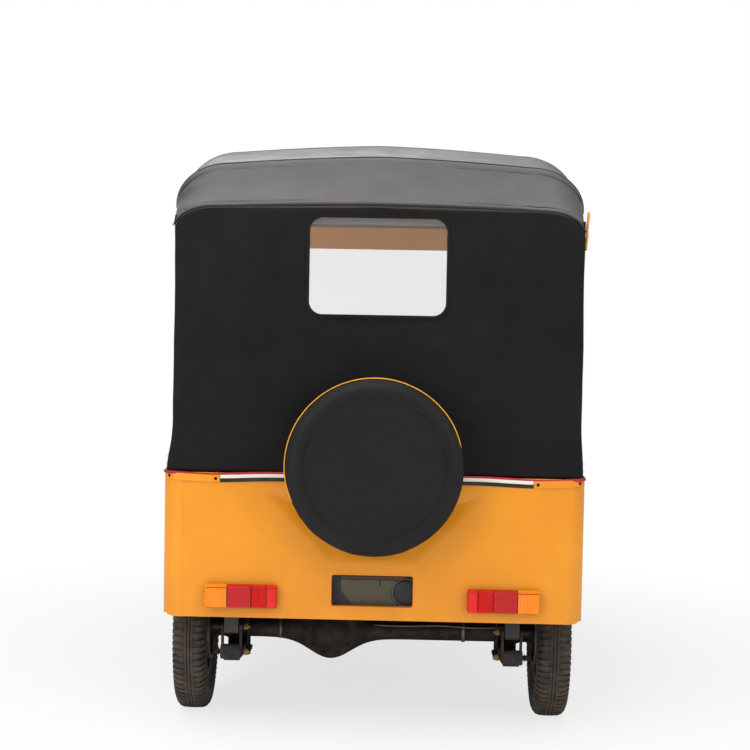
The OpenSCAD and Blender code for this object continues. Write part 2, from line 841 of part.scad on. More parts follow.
// Fork: two legs, the crown above the mudguard, the steerer and the wheel's spindle
module front_fork() {
    color("dimgray") on_steering() {
        for (x = [-1, 1])
            translate([x * fork_leg_x, -fork_offset, -22]) cylinder(r = 20, h = crown_from + 22 + crown_h);
        translate([-fork_leg_x - 22, -fork_offset - 24, crown_from])
            cube([2 * fork_leg_x + 44, fork_offset + 48, crown_h]);
        translate([0, 0, crown_from]) cylinder(r = steerer_r, h = steerer_to - crown_from);
        rod_x(front_spindle_r, -fork_leg_x, fork_leg_x, -fork_offset, 0);
    }
}

// Handlebar: housing on the steerer's top, bar and two grips
module handlebar() {
    color("black") on_steering() translate([0, 0, steerer_to + fit]) {
        translate([-95, -45, 0]) cube([190, 90, 52]);
        rod_x(11, -340, 340, 0, 28);
        both_sides() rod_x(17, 215, 335, 0, 28);
    }
}

// Mudguard: an arc over the tyre with cheeks, hung from the crown by a post
module front_mudguard() {
    w = tyre_w / 2 + 10;
    color("goldenrod") difference() {
        union() {
            translate([0, front_axle_y, axle_z]) rotate([0, 90, 0]) rotate([0, 0, 270 - guard_to])
                rotate_extrude(angle = guard_to - guard_from) {
                    translate([guard_in, -w]) square([guard_t, 2 * w]);
                    for (y = [-w, w - guard_t])
                        translate([guard_in - 26, y]) square([27, guard_t]);
                }
            on_steering() translate([0, -fork_offset, guard_in + 1]) cylinder(r = 16, h = crown_from - fit - guard_in - 1);
        }
    }
}

module front_rim() {
    color("gray") translate([0, front_axle_y, axle_z]) rotate([0, 90, 0]) {
        rim(front_spindle_r + shaft_fit);
    }
}

module front_tyre() {
    color("black") translate([0, front_axle_y, axle_z]) rotate([0, 90, 0]) tyre();
}

// Rear wheel: rim with the brake drum on its inner side
module rear_rim() {
    translate([wheel_x, rear_axle_y, axle_z]) rotate([0, 90, 0]) {
        rim(spindle_r + shaft_fit);
        rotate_extrude() {
            translate([drum_r - 6, -drum_l]) square([6, drum_l]);
            translate([hub_r - 1, -4]) square([drum_r - hub_r, 4]);
        }
    }
}

module rear_rim_left() {
    color("gray") rear_rim();
}

module rear_rim_right() {
    color("gray") mirror([1, 0, 0]) rear_rim();
}

module rear_tyre_left() {
    color("black") translate([wheel_x, rear_axle_y, axle_z]) rotate([0, 90, 0]) tyre();
}

module rear_tyre_right() {
    color("black") translate([-wheel_x, rear_axle_y, axle_z]) rotate([0, 90, 0]) tyre();
}

chassis_frame();
steering_neck();
floor_pan();
front_cowl();
dashboard();
windscreen_frame();
windscreen_glass();
side_sills();
quarter_panel_left();
quarter_panel_right();
rear_panel();
wheelhouses();
belt_trim();
tail_lamps();
driver_seat_base();
driver_cushion();
driver_backrest();
partition();
passenger_seat_base();
passenger_cushion();
passenger_backrest();
canopy_frame();
canopy_roof();
canopy_back();
canopy_sides();
rear_window();
spare_carrier();
spare_rim();
spare_tyre();
spare_cover();
rear_axle();
leaf_springs();
spring_shackles();
engine();
propshaft();
fuel_tank();
air_cleaner();
muffler();
headlamps();
mirrors();
front_fork();
handlebar();
front_mudguard();
front_rim();
front_tyre();
rear_rim_left();
rear_tyre_left();
rear_rim_right();
rear_tyre_right();
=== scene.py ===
"""Looks of the auto rickshaw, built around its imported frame. Metres; the front faces -Y."""

import math
import random

import bmesh
import bpy
from mathutils import Matrix, Vector, noise


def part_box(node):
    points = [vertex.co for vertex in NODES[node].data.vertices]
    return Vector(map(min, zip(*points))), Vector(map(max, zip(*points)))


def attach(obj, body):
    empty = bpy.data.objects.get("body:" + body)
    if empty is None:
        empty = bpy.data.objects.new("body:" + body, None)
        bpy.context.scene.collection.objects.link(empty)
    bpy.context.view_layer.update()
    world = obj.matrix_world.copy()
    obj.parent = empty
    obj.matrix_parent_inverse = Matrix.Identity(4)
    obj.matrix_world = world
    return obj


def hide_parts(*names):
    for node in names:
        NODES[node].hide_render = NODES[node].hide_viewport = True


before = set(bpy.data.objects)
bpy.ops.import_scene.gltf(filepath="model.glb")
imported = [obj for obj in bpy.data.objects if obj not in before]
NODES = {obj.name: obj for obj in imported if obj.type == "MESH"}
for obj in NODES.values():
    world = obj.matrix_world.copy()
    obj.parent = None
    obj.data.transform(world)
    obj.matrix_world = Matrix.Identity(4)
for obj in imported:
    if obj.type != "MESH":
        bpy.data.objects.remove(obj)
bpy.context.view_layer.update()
scene = bpy.context.scene


# ---------------------------------------------------------------- small tools


def srgb(red, green, blue):
    """A display colour, 0 to 255, as the linear colour that shaders take."""
    def linear(value):
        value /= 255
        return value / 12.92 if value <= 0.04045 else ((value + 0.055) / 1.055) ** 2.4

    return (linear(red), linear(green), linear(blue), 1.0)


def smoothstep(low, high, value):
    t = min(1.0, max(0.0, (value - low) / (high - low)))
    return t * t * (3 - 2 * t)


def mix(a, b, t):
    return a + (b - a) * t


def piece(name, verts, faces, material, body="body", smooth=True, outward=True):
    """A finished piece from its points and faces, riding on a body."""
    mesh = bpy.data.meshes.new(name)
    mesh.from_pydata([tuple(v) for v in verts], [], faces)
    mesh.validate()
    obj = bpy.data.objects.new(name, mesh)
    scene.collection.objects.link(obj)
    mesh.materials.append(material)
    for face in mesh.polygons:
        face.use_smooth = smooth
    if outward:
        turn_outward(obj)
    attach(obj, body)
    return obj


def turn_outward(obj):
    work = bmesh.new()
    work.from_mesh(obj.data)
    bmesh.ops.remove_doubles(work, verts=work.verts, dist=1e-6)
    bmesh.ops.recalc_face_normals(work, faces=work.faces)
    work.to_mesh(obj.data)
    work.free()


def merged(name, parts, material, body="body", smooth=True):
    """Several (verts, faces) parts as one piece."""
    verts, faces = [], []
    for part_verts, part_faces in parts:
        start = len(verts)
        verts.extend(part_verts)
        faces.extend([tuple(start + i for i in face) for face in part_faces])
    return piece(name, verts, faces, material, body, smooth)


def moved(part, matrix):
    verts, faces = part
    return [matrix @ Vector(v) for v in verts], faces


def bake_modifiers(obj):
    """Applies the object's modifiers to its mesh."""
    bpy.context.view_layer.update()
    graph = bpy.context.evaluated_depsgraph_get()
    done = bpy.data.meshes.new_from_object(obj.evaluated_get(graph))
    old = obj.data
    obj.modifiers.clear()
    obj.data = done
    bpy.data.meshes.remove(old)
    return obj


def sharpen(obj, degrees=35):
    """Shades smooth only across edges flatter than an angle."""
    work = bmesh.new()
    work.from_mesh(obj.data)
    for edge in work.edges:
        flat = len(edge.link_faces) == 2 and edge.calc_face_angle(0) < math.radians(degrees)
        edge.smooth = flat
    for face in work.faces:
        face.smooth = True
    work.to_mesh(obj.data)
    work.free()
    return obj


def round_edges(obj, width, segments=2, degrees=35):
    bevel = obj.modifiers.new("edges", "BEVEL")
    bevel.width = width
    bevel.segments = segments
    bevel.limit_method = "ANGLE"
    bevel.angle_limit = math.radians(degrees)
    bake_modifiers(obj)
    return sharpen(obj)


def box_part(low, high):
    x0, y0, z0 = low
    x1, y1, z1 = high
    verts = [(x, y, z) for x in (x0, x1) for y in (y0, y1) for z in (z0, z1)]
    faces = [(0, 1, 3, 2), (4, 6, 7, 5), (0, 4, 5, 1), (2, 3, 7, 6), (0, 2, 6, 4), (1, 5, 7, 3)]
    return verts, faces


def lathe_part(profile, steps=48, closed=True):
    """A profile of (radius, height) turned about +Z, closed at its ends on the axis or as a ring."""
    verts, faces = [], []
    for i in range(steps):
        angle = 2 * math.pi * i / steps
        for radius, height in profile:
            verts.append((radius * math.cos(angle), radius * math.sin(angle), height))
    count = len(profile)
    last = count if closed else count - 1
    for i in range(steps):
        for j in range(last):
            a, b = i * count + j, i * count + (j + 1) % count
            c, d = ((i + 1) % steps) * count + (j + 1) % count, ((i + 1) % steps) * count + j
            faces.append((a, b, c, d))
    return verts, faces


def axis_matrix(centre, axis):
    """Puts +Z of a part along an axis, at a centre."""
    turn = Vector(axis).normalized().to_track_quat("Z", "Y").to_matrix().to_4x4()
    return Matrix.Translation(Vector(centre)) @ turn


def sweep_part(points, radius, sides=12, closed=False):
    """A round tube through points."""
    points = [Vector(p) for p in points]
    count = len(points)
    verts, faces = [], []
    side = None
    for i, point in enumerate(points):
        before = points[(i - 1) % count] if closed or i > 0 else point
        after = points[(i + 1) % count] if closed or i < count - 1 else point
        along = (after - before).normalized()
        if side is None:
            side = along.orthogonal().normalized()
        side = (side - along * side.dot(along)).normalized()
        up = along.cross(side)
        for k in range(sides):
            angle = 2 * math.pi * k / sides
            verts.append(point + radius * (math.cos(angle) * side + math.sin(angle) * up))
    rings = count if closed else count - 1
    for i in range(rings):
        for k in range(sides):
            a, b = i * sides + k, i * sides + (k + 1) % sides
            c, d = ((i + 1) % count) * sides + (k + 1) % sides, ((i + 1) % count) * sides + k
            faces.append((a, b, c, d))
    if not closed:
        faces.append(tuple(range(sides))[::-1])
        faces.append(tuple((count - 1) * sides + k for k in range(sides)))
    return verts, faces


def rounded_outline(width, height, radius, steps=6):
    """Points round a rectangle with round corners, centred, anticlockwise."""
    points = []
    for cx, cy, start in ((1, 1, 0), (-1, 1, 90), (-1, -1, 180), (1, -1, 270)):
        for i in range(steps + 1):
            angle = math.radians(start + 90 * i / steps)
            points.append((
                cx * (width / 2 - radius) + radius * math.cos(angle),
                cy * (height / 2 - radius) + radius * math.sin(angle),
            ))
    return points


def plate_part(outline, low, high, inset=0.0, crown=0.0):
    """An outline of (u, v) points made solid between two heights, with an inset top edge."""
    count = len(outline)
    shrink = lambda p, d: (p[0] - math.copysign(min(d, abs(p[0])), p[0]), p[1] - math.copysign(min(d, abs(p[1])), p[1]))
    rings = [[(u, v, low) for u, v in outline]]
    if inset:
        rings.append([(u, v, high - inset) for u, v in outline])
    rings.append([(*shrink(p, inset), high + crown) for p in outline])
    verts = [v for ring in rings for v in ring]
    faces = []
    for r in range(len(rings) - 1):
        for i in range(count):
            j = (i + 1) % count
            faces.append((r * count + i, r * count + j, (r + 1) * count + j, (r + 1) * count + i))
    faces.append(tuple(range(count))[::-1])
    faces.append(tuple((len(rings) - 1) * count + i for i in range(count)))
    return verts, faces


def ring_plate_part(outer, inner, low, high):
    """A flat frame between two outlines of as many points."""
    count = len(outer)
    rings = [(outer, low), (outer, high), (inner, high), (inner, low)]
    verts = [(u, v, h) for ring, h in rings for u, v in ring]
    faces = []
    for r in range(4):
        for i in range(count):
            j = (i + 1) % count
            s = (r + 1) % 4
            faces.append((r * count + i, r * count + j, s * count + j, s * count + i))
    return verts, faces


# Turns a part drawn in (u, v, outwards) into one on the rear face: u is +X, v is +Z
# and outwards is +Y
REAR = Matrix(((1, 0, 0, 0), (0, 0, 1, 0), (0, 1, 0, 0), (0, 0, 0, 1)))


def mirrored(part):
    verts, faces = part
    return [(-v[0], v[1], v[2]) for v in verts], [tuple(reversed(f)) for f in faces]


# ------------------------------------------------------------------ materials


class Nodes:
    """A short way to write one material's node tree."""

    def __init__(self, name):
        self.material = bpy.data.materials.new(name)
        self.material.use_nodes = True
        self.tree = self.material.node_tree
        self.shader = self.tree.nodes["Principled BSDF"]
        self.place = self.add("ShaderNodeTexCoord").outputs["Object"]

    def add(self, kind, **settings):
        node = self.tree.nodes.new(kind)
        for key, value in settings.items():
            setattr(node, key, value)
        return node

    def link(self, a, b):
        self.tree.links.new(a, b)

    def noise(self, scale, detail=4.0, rough=0.55, vector=None, stretch=None):
        node = self.add("ShaderNodeTexNoise")
        node.inputs["Scale"].default_value = scale
        node.inputs["Detail"].default_value = detail
        node.inputs["Roughness"].default_value = rough
        source = vector or self.place
        if stretch:
            mapping = self.add("ShaderNodeMapping")
            mapping.inputs["Scale"].default_value = stretch
            self.link(source, mapping.inputs["Vector"])
            source = mapping.outputs["Vector"]
        self.link(source, node.inputs["Vector"])
        return node.outputs["Fac"]

    def ramp(self, value, *stops):
        node = self.add("ShaderNodeValToRGB")
        elements = node.color_ramp.elements
        while len(elements) < len(stops):
            elements.new(0.5)
        for element, (position, colour) in zip(elements, stops):
            element.position = position
            element.color = colour if hasattr(colour, "__len__") else (colour, colour, colour, 1)
        self.link(value, node.inputs["Fac"])
        return node.outputs["Color"]

    def blend(self, amount, a, b, kind="MIX"):
        node = self.add("ShaderNodeMix", data_type="RGBA", blend_type=kind)
        for socket, value in ((node.inputs[0], amount), (node.inputs[6], a), (node.inputs[7], b)):
            if hasattr(value, "is_output"):
                self.link(value, socket)
            else:
                socket.default_value = value
        return node.outputs[2]

    def math(self, operation, a, b=0.0):
        node = self.add("ShaderNodeMath", operation=operation)
        for socket, value in zip(node.inputs, (a, b)):
            if hasattr(value, "is_output"):
                self.link(value, socket)
            else:
                socket.default_value = value
        return node.outputs[0]

    def span(self, value, low, high, to_low, to_high):
        node = self.add("ShaderNodeMapRange")
        for key, number in (("From Min", low), ("From Max", high), ("To Min", to_low), ("To Max", to_high)):
            node.inputs[key].default_value = number
        self.link(value, node.inputs["Value"])
        return node.outputs["Result"]

    def bump(self, height, strength, distance):
        node = self.add("ShaderNodeBump")
        node.inputs["Strength"].default_value = strength
        node.inputs["Distance"].default_value = distance
        self.link(height, node.inputs["Height"])
        previous = self.shader.inputs["Normal"]
        if previous.is_linked:
            self.link(previous.links[0].from_socket, node.inputs["Normal"])
        self.link(node.outputs["Normal"], previous)
        return node

    def set(self, **values):
        for key, value in values.items():
            socket = self.shader.inputs[key.replace("_", " ")]
            if hasattr(value, "is_output"):
                self.link(value, socket)
            else:
                socket.default_value = value
        return self


def paint(name, colour, worn, roughness=0.36, coat=0.25, grime=0.5):
    """Enamel over steel: slight waviness, dull patches and road film low down."""
    n = Nodes(name)
    broad = n.noise(3.0, 3)
    fine = n.noise(60, 6, 0.7)
    tint = n.blend(n.span(broad, 0.35, 0.7, 0, 1), colour, worn)
    specks = n.ramp(fine, (0.0, 1.0), (0.62, 1.0), (0.78, 0.86))
    tint = n.blend(1.0, tint, specks, "MULTIPLY")
    split = n.add("ShaderNodeSeparateXYZ")
    n.link(n.place, split.inputs[0])
    low = n.span(split.outputs["Z"], 0.36, 0.62, grime, 0.0)
    film = n.math("MULTIPLY", low, n.ramp(n.noise(9, 6, 0.65), (0.35, 0.0), (0.7, 1.0)))
    tint = n.blend(film, tint, tuple(c * 0.45 + 0.03 for c in worn[:3]) + (1,))
    n.set(Base_Color=tint, Roughness=n.span(n.noise(14, 5), 0.3, 0.7, roughness - 0.07, roughness + 0.12))
    n.set(Coat_Weight=coat, Coat_Roughness=0.18)
    n.bump(n.noise(7, 2), 0.25, 0.002)
    n.bump(fine, 0.1, 0.0003)
    return n.material


def metal(name, colour, rust, roughness=0.45, metallic=0.9, amount=0.5):
    n = Nodes(name)
    patch = n.ramp(n.noise(18, 8, 0.7), (0.42, 0.0), (0.62, amount))
    n.set(Base_Color=n.blend(patch, colour, rust))
    n.set(Metallic=n.span(patch, 0, 1, metallic, metallic * 0.3))
    n.set(Roughness=n.span(n.noise(40, 6), 0.3, 0.7, roughness - 0.1, roughness + 0.2))
    n.bump(n.noise(90, 6, 0.7), 0.3, 0.0006)
    return n.material


def plastic(name, colour, roughness=0.5, grain=220):
    n = Nodes(name)
    n.set(Base_Color=n.blend(n.span(n.noise(8, 4), 0.3, 0.7, 0, 1), colour, tuple(c * 1.5 + 0.004 for c in colour[:3]) + (1,)))
    n.set(Roughness=n.span(n.noise(25, 4), 0.3, 0.7, roughness - 0.06, roughness + 0.1))
    n.bump(n.noise(grain, 3), 0.25, 0.0004)
    return n.material


def weave(n, threads, strength, distance):
    """A plain weave as bump, from two crossed wave patterns."""
    for direction in ("X", "Z"):
        wave = n.add("ShaderNodeTexWave", bands_direction=direction)
        wave.inputs["Scale"].default_value = threads
        wave.inputs["Distortion"].default_value = 0.6
        n.link(n.place, wave.inputs["Vector"])
        n.bump(wave.outputs["Fac"], strength, distance)


def cloth(name, colour, sky_lit_faded, roughness=0.62, dust=0.0, sheen=0.35):
    """Coated canopy cloth: weave, soft creases, and faces that see the sky made paler, partly as dust and sun fading
    and partly as a painted sky highlight.
    """
    n = Nodes(name)
    broad = n.noise(2.2, 5, 0.6)
    tint = n.blend(n.span(broad, 0.3, 0.75, 0, 0.8), colour, tuple(c * 1.7 + 0.002 for c in colour[:3]) + (1,))
    # Painted sky highlight mixed with real dust and fading: the more a face's normal points up, the more it takes the
    # pale colour, so the roof's top is lightest.
    if dust:
        facing = n.add("ShaderNodeSeparateXYZ")
        n.link(n.add("ShaderNodeNewGeometry").outputs["Normal"], facing.inputs[0])
        sky_light_and_fade = n.math("POWER", n.span(facing.outputs["Z"], 0.05, 1.0, 0.0, dust), 2.8)
        patchy_sky_light_and_fade = n.math("MULTIPLY", sky_light_and_fade, n.span(n.noise(5, 6, 0.65), 0.25, 0.75, 0.78, 1.12))
        tint = n.blend(patchy_sky_light_and_fade, tint, sky_lit_faded)
    n.set(Base_Color=tint, Roughness=n.span(n.noise(12, 5), 0.3, 0.7, roughness - 0.08, roughness + 0.1))
    n.set(Sheen_Weight=sheen, Sheen_Roughness=0.45, Specular_IOR_Level=0.2)
    weave(n, 190, 0.12, 0.0004)
    n.bump(n.noise(26, 4, 0.6), 0.28, 0.0025)
    return n.material


def vinyl(name, colour, roughness=0.42, grain=170):
    """Grained vinyl for seats and the spare wheel's cover."""
    n = Nodes(name)
    cells = n.add("ShaderNodeTexVoronoi", feature="DISTANCE_TO_EDGE")
    cells.inputs["Scale"].default_value = grain
    n.link(n.place, cells.inputs["Vector"])
    n.set(Base_Color=n.blend(n.span(n.noise(4, 5), 0.3, 0.7, 0, 1), colour, tuple(c * 1.5 + 0.002 for c in colour[:3]) + (1,)))
    n.set(Roughness=n.span(n.noise(10, 6), 0.3, 0.7, roughness - 0.08, roughness + 0.12), Specular_IOR_Level=0.3)
    n.bump(n.ramp(cells.outputs["Distance"], (0.0, 0.0), (0.25, 1.0)), 0.2, 0.0005)
    n.bump(n.noise(20, 4), 0.3, 0.002)
    return n.material


def rubber(name, colour, dusty):
    n = Nodes(name)
    dust = n.ramp(n.noise(22, 8, 0.7), (0.36, 0.0), (0.66, 0.85))
    n.set(Base_Color=n.blend(dust, colour, dusty), Roughness=n.span(n.noise(30, 5), 0.3, 0.7, 0.72, 0.95))
    n.bump(n.noise(120, 6, 0.7), 0.35, 0.0008)
    return n.material


def lens(name, colour, glow):
    """Moulded lamp plastic: deep colour, a glossy skin and slight scatter."""
    n = Nodes(name)
    n.set(Base_Color=n.blend(n.span(n.noise(30, 3), 0.3, 0.7, 0, 1), colour, glow))
    n.set(Roughness=n.span(n.noise(50, 4), 0.3, 0.7, 0.12, 0.24))
    n.set(Coat_Weight=0.2, Coat_Roughness=0.1, Specular_IOR_Level=0.3)
    return n.material


def clear(name, tint, roughness, alpha):
    n = Nodes(name)
    n.set(Base_Color=tint, Roughness=n.span(n.noise(9, 5), 0.3, 0.7, roughness, roughness + 0.1))
    n.set(Alpha=alpha, Coat_Weight=0.3)
    n.bump(n.noise(5, 2), 0.15, 0.002)
    return n.material


BLACK = srgb(24, 22, 21)
YELLOW = paint("yellow_enamel", srgb(246, 158, 16), srgb(238, 146, 14), coat=0.12, grime=0.3)
BLACK_PAINT = paint("black_frame_paint", srgb(30, 28, 27), srgb(50, 45, 40), 0.5, 0.0, 0.4)
GREY_PAINT = paint("grey_floor_paint", srgb(92, 88, 80), srgb(76, 70, 60), 0.55, 0.0, 0.5)
TANK_PAINT = paint("tank_paint", srgb(96, 90, 72), srgb(76, 70, 54), 0.5, 0.0, 0.2)
WHITE_PAINT = paint("white_band_paint", srgb(246, 242, 230), srgb(238, 230, 214), 0.5, 0.0, 0.0)
# Brown that paints the yellow hatch return as it looks in shade: painted shade, not primer.
RETURN_SHADE_BROWN = paint("return_painted_shade", srgb(84, 46, 30), srgb(70, 44, 34), 0.6, 0.0, 0.6)
# The pale second colour and the 0.85 amount paint a sky highlight on the roof's upward faces, along with its dust and
# fading.
CANOPY = cloth("canopy_cloth", srgb(36, 34, 34), srgb(150, 148, 148), 0.5, 0.85, 0.12)
LINING = cloth("canopy_lining", srgb(92, 84, 76), srgb(120, 110, 100), 0.8, 0.0, 0.2)
CURTAIN = cloth("curtain_cloth", srgb(16, 14, 14), srgb(80, 78, 78), 0.7, 0.0, 0.04)
BINDING = cloth("binding_tape", srgb(24, 22, 23), srgb(60, 60, 60), 0.6, 0.0, 0.04)
COVER = vinyl("cover_vinyl", srgb(13, 10, 10), 0.55)
SEAT = vinyl("seat_vinyl", srgb(34, 33, 35), 0.45, 120)
RED_PIPING = vinyl("red_piping", srgb(168, 34, 44), 0.5, 300)
YELLOW_PIPING = vinyl("yellow_piping", srgb(224, 160, 40), 0.4, 300)
TYRE = rubber("tyre_rubber", srgb(44, 40, 37), srgb(92, 80, 66))
RUBBER = rubber("black_rubber", srgb(26, 25, 25), srgb(60, 56, 52))
MAT = rubber("floor_mat", srgb(40, 39, 38), srgb(80, 74, 66))
STEEL = metal("worn_steel", srgb(140, 138, 134), srgb(96, 62, 38), 0.4, 0.9, 0.45)
DARK_STEEL = metal("oily_steel", srgb(38, 34, 31), srgb(72, 50, 34), 0.55, 0.45, 0.6)
BRASS = metal("plated_nut", srgb(150, 122, 70), srgb(96, 72, 44), 0.45, 0.7, 0.4)
SCREW = metal("dark_screw", srgb(48, 38, 28), srgb(70, 46, 26), 0.45, 0.7, 0.4)
CHROME = metal("bright_chrome", srgb(220, 220, 222), srgb(180, 176, 170), 0.16, 1.0, 0.2)
BLACK_PLASTIC = plastic("black_plastic", srgb(26, 26, 28))
GREY_PLASTIC = plastic("grey_plastic", srgb(70, 70, 72))
AMBER = lens("amber_lens", srgb(250, 134, 8), srgb(252, 146, 16))
RED = lens("red_lens", srgb(226, 24, 16), srgb(232, 34, 24))
DEEP_RED = lens("deep_red_lens", srgb(184, 12, 16), srgb(196, 18, 20))
MID_RED = lens("ribbed_red_lens", srgb(204, 14, 14), srgb(214, 22, 20))
GLASS = clear("screen_glass", srgb(228, 238, 236), 0.02, 0.16)
CLEAR_VINYL = clear("window_sheet", srgb(250, 250, 248), 0.12, 0.05)
LAMP_GLASS = clear("headlamp_glass", srgb(235, 240, 240), 0.05, 0.35)
MIRROR = metal("mirror_face", srgb(230, 232, 234), srgb(220, 222, 224), 0.14, 1.0, 0.1)
DIAL = plastic("dial_face", srgb(228, 226, 218), 0.4, 300)


def wear(node, material):
    """Gives a CAD node its material."""
    obj = NODES[node]
    obj.data.materials.clear()
    obj.data.materials.append(material)


NODE_FINISH = {
    "chassis_frame": BLACK_PAINT, "steering_neck": BLACK_PAINT, "floor_pan": GREY_PAINT,
    "front_cowl": YELLOW, "dashboard": BLACK_PLASTIC, "windscreen_frame": YELLOW,
    "windscreen_glass": GLASS, "side_sills": YELLOW, "quarter_panel_left": YELLOW,
    "quarter_panel_right": YELLOW, "rear_panel": YELLOW, "wheelhouses": BLACK_PAINT,
    "belt_trim": YELLOW, "tail_lamps": RED, "driver_seat_base": GREY_PAINT,
    "driver_cushion": SEAT, "driver_backrest": SEAT, "partition": BLACK_PAINT,
    "passenger_seat_base": GREY_PAINT, "passenger_cushion": SEAT, "passenger_backrest": SEAT,
    "canopy_frame": BLACK_PAINT, "canopy_roof": CANOPY, "canopy_back": CURTAIN,
    "canopy_sides": CURTAIN, "rear_window": CLEAR_VINYL, "spare_carrier": BLACK_PAINT,
    "spare_rim": STEEL, "spare_tyre": TYRE, "spare_cover": COVER, "rear_axle": DARK_STEEL,
    "leaf_springs": DARK_STEEL, "spring_shackles": DARK_STEEL, "engine": DARK_STEEL,
    "propshaft": DARK_STEEL, "fuel_tank": TANK_PAINT, "air_cleaner": BLACK_PLASTIC,
    "muffler": DARK_STEEL, "headlamps": CHROME, "mirrors": BLACK_PLASTIC,
    "front_fork": BLACK_PAINT, "handlebar": BLACK_PLASTIC, "front_mudguard": YELLOW,
    "front_rim": STEEL, "front_tyre": TYRE, "rear_rim_left": STEEL, "rear_tyre_left": TYRE,
    "rear_rim_right": STEEL, "rear_tyre_right": TYRE,
}
for node_name, node_material in NODE_FINISH.items():
    wear(node_name, node_material)

# ------------------------------------------------------------ geometry nodes


def new_group(name, sizes):
    """An empty geometry tree with a geometry in and out and named number inputs."""
    tree = bpy.data.node_groups.new(name, "GeometryNodeTree")
    tree.interface.new_socket("Geometry", in_out="INPUT", socket_type="NodeSocketGeometry")
    for key, value in sizes.items():
        kind = "NodeSocketInt" if isinstance(value, int) else "NodeSocketFloat"
        tree.interface.new_socket(key, in_out="INPUT", socket_type=kind)
    tree.interface.new_socket("Geometry", in_out="OUTPUT", socket_type="NodeSocketGeometry")
    return tree, tree.nodes.new("NodeGroupInput"), tree.nodes.new("NodeGroupOutput")


def finish_group(tree, geometry, out, material):
    """Ends a tree in real geometry with its material."""
    realize = tree.nodes.new("GeometryNodeRealizeInstances")
    paint_it = tree.nodes.new("GeometryNodeSetMaterial")
    paint_it.inputs["Material"].default_value = material
    tree.links.new(geometry, realize.inputs["Geometry"])
    tree.links.new(realize.outputs["Geometry"], paint_it.inputs["Geometry"])
    tree.links.new(paint_it.outputs["Geometry"], out.inputs["Geometry"])


def run_group(name, part, tree, sizes):
    """The mesh that a tree makes from a part, as (verts, faces)."""
    mesh = bpy.data.meshes.new(name)
    verts, faces = part
    edges = [] if faces else [(i, i + 1) for i in range(len(verts) - 1)]
    mesh.from_pydata([tuple(v) for v in verts], edges, faces)
    obj = bpy.data.objects.new(name, mesh)
    scene.collection.objects.link(obj)
    modifier = obj.modifiers.new("repeat", "NODES")
    modifier.node_group = tree
    for item in tree.interface.items_tree:
        if item.in_out == "INPUT" and item.name in sizes:
            modifier[item.identifier] = sizes[item.name]
    bake_modifiers(obj)
    made = ([v.co.copy() for v in obj.data.vertices], [tuple(f.vertices) for f in obj.data.polygons])
    used = obj.data
    bpy.data.objects.remove(obj)
    bpy.data.meshes.remove(used)
    return made


def ring_of(part, count, material):
    """A part repeated round +Z."""
    tree, given, out = new_group("ring_of_parts", {"Count": count})
    n = tree.nodes
    points = n.new("GeometryNodePoints")
    tree.links.new(given.outputs["Count"], points.inputs["Count"])
    step = n.new("ShaderNodeMath")
    step.operation = "DIVIDE"
    step.inputs[0].default_value = 2 * math.pi
    tree.links.new(given.outputs["Count"], step.inputs[1])
    turn = n.new("ShaderNodeMath")
    turn.operation = "MULTIPLY"
    tree.links.new(n.new("GeometryNodeInputIndex").outputs[0], turn.inputs[0])
    tree.links.new(step.outputs[0], turn.inputs[1])
    angles = n.new("ShaderNodeCombineXYZ")
    tree.links.new(turn.outputs[0], angles.inputs["Z"])
    copies = n.new("GeometryNodeInstanceOnPoints")
    tree.links.new(points.outputs[0], copies.inputs["Points"])
    tree.links.new(given.outputs["Geometry"], copies.inputs["Instance"])
    tree.links.new(angles.outputs[0], copies.inputs["Rotation"])
    finish_group(tree, copies.outputs[0], out, material)
    return run_group("ring", part, tree, {"Count": count})


def stitches_along(points, material, pitch=0.007, length=0.0045, width=0.0011):
    """Stitches laid end to end along points."""
    tree, given, out = new_group("stitch_row", {"Pitch": pitch, "Length": length, "Width": width})
    n = tree.nodes
    curve = n.new("GeometryNodeMeshToCurve")
    tree.links.new(given.outputs["Geometry"], curve.inputs["Mesh"])
    spots = n.new("GeometryNodeCurveToPoints")
    spots.mode = "LENGTH"
    tree.links.new(curve.outputs[0], spots.inputs["Curve"])
    tree.links.new(given.outputs["Pitch"], spots.inputs["Length"])
    bead = n.new("GeometryNodeMeshIcoSphere")
    bead.inputs["Radius"].default_value = 0.5
    bead.inputs["Subdivisions"].default_value = 1
    size = n.new("ShaderNodeCombineXYZ")
    tree.links.new(given.outputs["Width"], size.inputs["X"])
    tree.links.new(given.outputs["Width"], size.inputs["Y"])
    tree.links.new(given.outputs["Length"], size.inputs["Z"])
    copies = n.new("GeometryNodeInstanceOnPoints")
    tree.links.new(spots.outputs["Points"], copies.inputs["Points"])
    tree.links.new(bead.outputs["Mesh"], copies.inputs["Instance"])
    tree.links.new(spots.outputs["Rotation"], copies.inputs["Rotation"])
    tree.links.new(size.outputs[0], copies.inputs["Scale"])
    finish_group(tree, copies.outputs[0], out, material)
    return run_group("stitches", (points, []), tree, {"Pitch": pitch, "Length": length, "Width": width})


def copies_at(part, places, material):
    """A part repeated at points, all turned the same way."""
    tree, given, out = new_group("copies_at_points", {"Scale": 1.0})
    n = tree.nodes
    spots = bpy.data.meshes.new("places")
    spots.from_pydata([tuple(p) for p in places], [], [])
    holder = bpy.data.objects.new("places", spots)
    scene.collection.objects.link(holder)
    info = n.new("GeometryNodeObjectInfo")
    info.inputs["Object"].default_value = holder
    points = n.new("GeometryNodeMeshToPoints")
    tree.links.new(info.outputs["Geometry"], points.inputs["Mesh"])
    copies = n.new("GeometryNodeInstanceOnPoints")
    tree.links.new(points.outputs[0], copies.inputs["Points"])
    tree.links.new(given.outputs["Geometry"], copies.inputs["Instance"])
    tree.links.new(given.outputs["Scale"], copies.inputs["Scale"])
    finish_group(tree, copies.outputs[0], out, material)
    made = run_group("copies", part, tree, {"Scale": 1.0})
    bpy.data.objects.remove(holder)
    bpy.data.meshes.remove(spots)
    return made


# -------------------------------------------------- main places, from the frame

